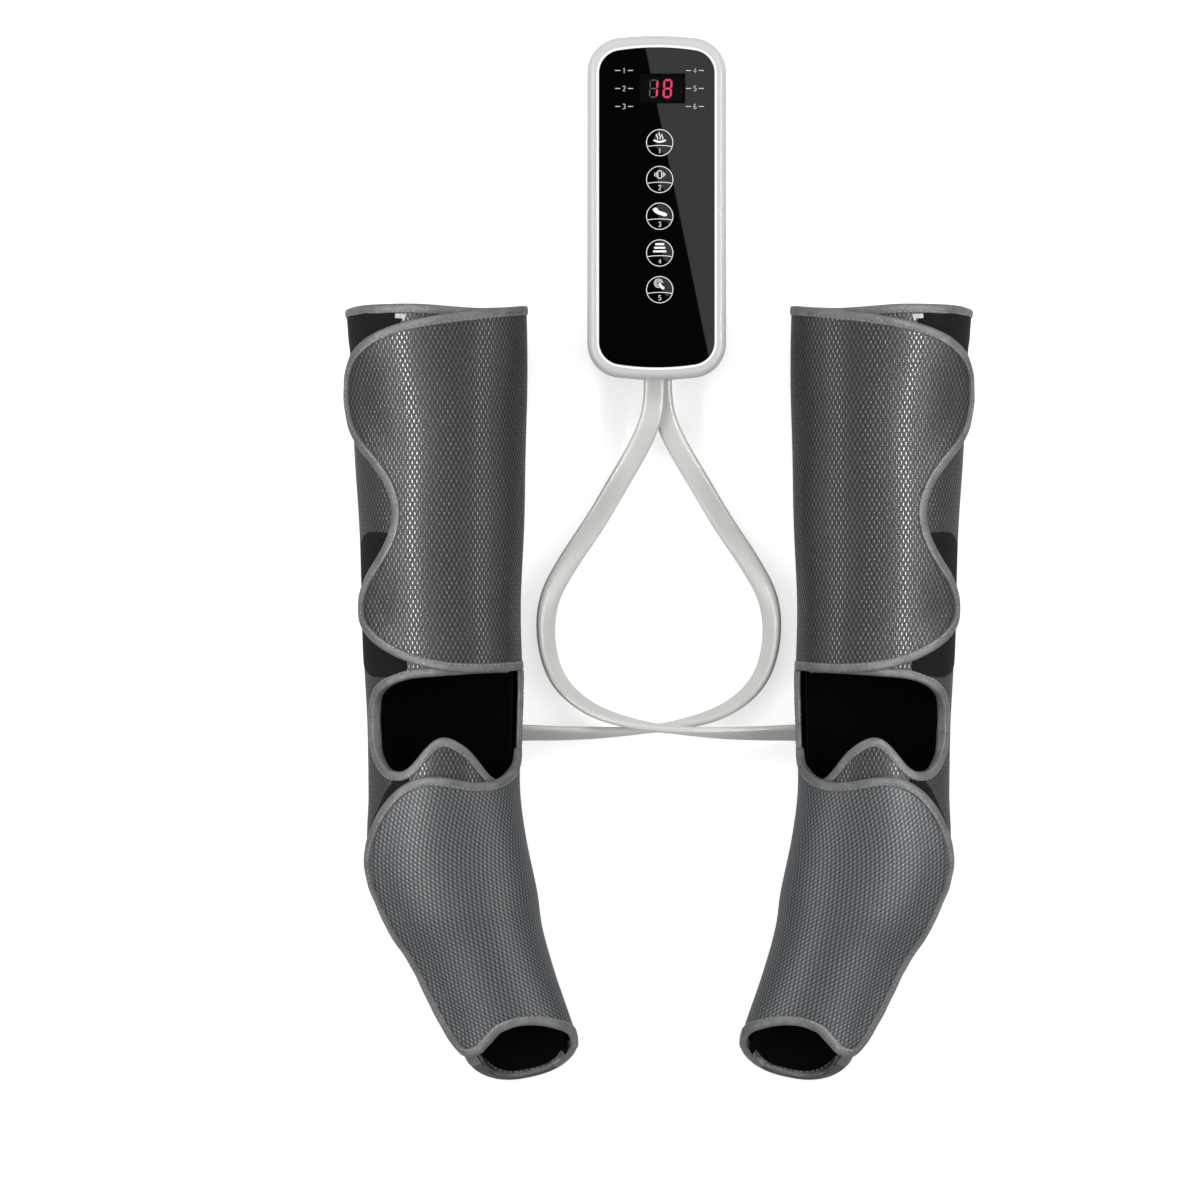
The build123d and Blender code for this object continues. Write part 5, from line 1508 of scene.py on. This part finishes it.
def light_it():
    """Long lamps beside the wraps, and a soft one behind their top ends."""
    for side_name, way in (("left", -1), ("right", 1)):
        for kind, (out, aim, breadth, power, spread, diffuse) in SIDE_LAMPS.items():
            place, towards = (out * way, 0.0, STRIP_HEIGHT), (aim * way, 0.0, FRAME_HEIGHT)
            name = kind + "_" + side_name
            add_lamp(name, place, towards, STRIP_LENGTH, breadth, power, spread, diffuse)
    add_lamp("softbox_end", (0.0, 1.5, 1.2), (0.0, 0.1, 0.0), width=1.6, length=0.5, power=11.0)


def hang_flag():
    """Black card over the controller that only reflections show. It ends in a slanting line there."""
    reach = (FLAG_HEIGHT - PANEL_TOP * MM) / (CAMERA_HEIGHT - PANEL_TOP * MM)
    points = []
    for x, y in np.array(FLAG_IMAGE) * MM:
        points.append((x + (x - CAMERA_X) * reach, y + (y - CAMERA_Y) * reach, FLAG_HEIGHT))
    card = bpy.data.meshes.new("flag")
    card.from_pydata(points, [], [tuple(range(len(points)))])
    f = Finish("flag_black")
    f.done(f.mix(f.noise(50.0), grey(0.0), grey(0.001)), Roughness=1.0, Specular_IOR_Level=0.0)
    card.materials.append(f.material)
    flag = add_object("flag", card)
    for kind in ("camera", "diffuse", "transmission", "shadow", "volume_scatter"):
        setattr(flag, "visible_" + kind, False)


# ================================================================ make everything

make_camera()
bpy.context.scene.view_settings.view_transform = "Standard"

# The cords come first
hose_finish = soft_hose()
make_hose("right", 1, HOSE_RIGHT_ROUTE, hose_finish)
make_hose("left", -1, HOSE_LEFT_ROUTE, hose_finish)

white, rear, black = moulded_white(), rear_white(), gloss_black()
smooth_copy("bezel", "front_bezel", white)
smooth_copy("rear_shell", "rear_cover", rear)
smooth_copy("glass_panel", "touch_panel", black)
for key in range(1, KEY_COUNT + 1):
    smooth_copy("key_cap_%d" % key, "key_%d" % key, black)
# The lip is the bezel's plastic painted near-white: a painted highlight where its flat top catches the light.
make_panel_lip(plain("painted_highlight_lip", (0.95, 0.95, 0.95), 0.35, spread=0.03))

printing = plain("white_print", (0.92, 0.92, 0.92), 0.45, size=2.0, spread=0.04)
print_keys(printing)
print_side_marks(plain("grey_print", (0.55, 0.55, 0.55), 0.45, size=2.0, spread=0.06))
make_display(glowing("lit_segment", (0.93, 0.055, 0.16), 1.9),
             plain("unlit_segment", (0.62, 0.55, 0.50), 0.5, size=2.0))

sleeve_finishes = {
    "calf": knitted_mesh("calf_mesh", 1.585, 3.0, grey(0.003), (0.021, 0.0235, 0.025, 1),
                         (0.045, 0.049, 0.052, 1), 0.23),
    "foot": knitted_mesh("foot_mesh", 1.6, 2.6, grey(0.005), (0.060, 0.067, 0.072, 1),
                         (0.125, 0.138, 0.145, 1), 0.4, slant=0.34, lean=-0.17, flat_loops=True),
    "tape": binding_tape("binding_tape", 0.085, 0.16),
    # Binding tape darkened as painted shade, for the toe edge under the sole.
    "painted_shade_tape": binding_tape("painted_shade_binding", 0.028, 0.045),
    "label": plain("label_cloth", (0.55, 0.55, 0.53), 0.6, size=2.0, grain=0.05),
    "lining": black_lining(),
    "hook": hook_tape(),
}
stitches = stitch_tree(sewing_thread())
for side_name, side in SIDES:
    make_wrap(side_name, side, sleeve_finishes, stitches)

steel = plain("plated_steel", (0.55, 0.55, 0.57), 0.28, 1.0)
dark_plastic = plain("dark_plastic", (0.028, 0.028, 0.03), 0.5)
rubber = plain("black_rubber", (0.02, 0.02, 0.02), 0.75, grain=0.06)
pale_plastic = plain("pale_plastic", (0.62, 0.62, 0.6), 0.4)
coated = plain("coated_nylon", (0.045, 0.045, 0.05), 0.45, size=3.0, grain=0.1)
inner_parts = {
    "display_window": display_filter(),
    "led_display": plain("display_body", (0.003, 0.003, 0.003), 0.7, specular=0.1),
    "key_switches": dark_plastic,
    "main_circuit_board": plain("board_green", (0.012, 0.09, 0.03), 0.35, size=3.0, spread=0.25),
    "board_components": dark_plastic,
    "buzzer": dark_plastic,
    "board_screws": steel,
    "case_screws": steel,
    "rubber_feet": rubber,
    "pump_housing": dark_plastic,
    "pump_diaphragm": rubber,
    "pump_head": dark_plastic,
    "pump_motor": plain("motor_can", (0.5, 0.51, 0.53), 0.32, 0.9),
    "pump_crank": steel,
    "pump_foam_mounts": plain("open_foam", (0.03, 0.03, 0.032), 0.9, size=1.2, spread=0.4, grain=0.3),
    "air_manifold": pale_plastic,
    "solenoid_valves": pale_plastic,
    "inner_tubes": plain("clear_tube", (0.66, 0.66, 0.63), 0.25),
    "hose_grommet": plain("pale_grommet", (0.48, 0.48, 0.46), 0.55),
    "dc_inlet": dark_plastic,
}
heating_film = plain("heating_film", (0.25, 0.12, 0.03), 0.5, size=4.0)
for side_name, _ in SIDES:
    inner_parts["air_port_" + side_name] = pale_plastic
    inner_parts["vibration_motor_" + side_name] = steel
    inner_parts["vibration_weight_" + side_name] = steel
    inner_parts["heating_pad_" + side_name] = heating_film
    for bag in ("foot_airbag_", "calf_airbag_upper_", "calf_airbag_lower_"):
        inner_parts[bag + side_name] = coated
for node, finish in inner_parts.items():
    paint(node, finish)

make_room()
light_it()
hang_flag()
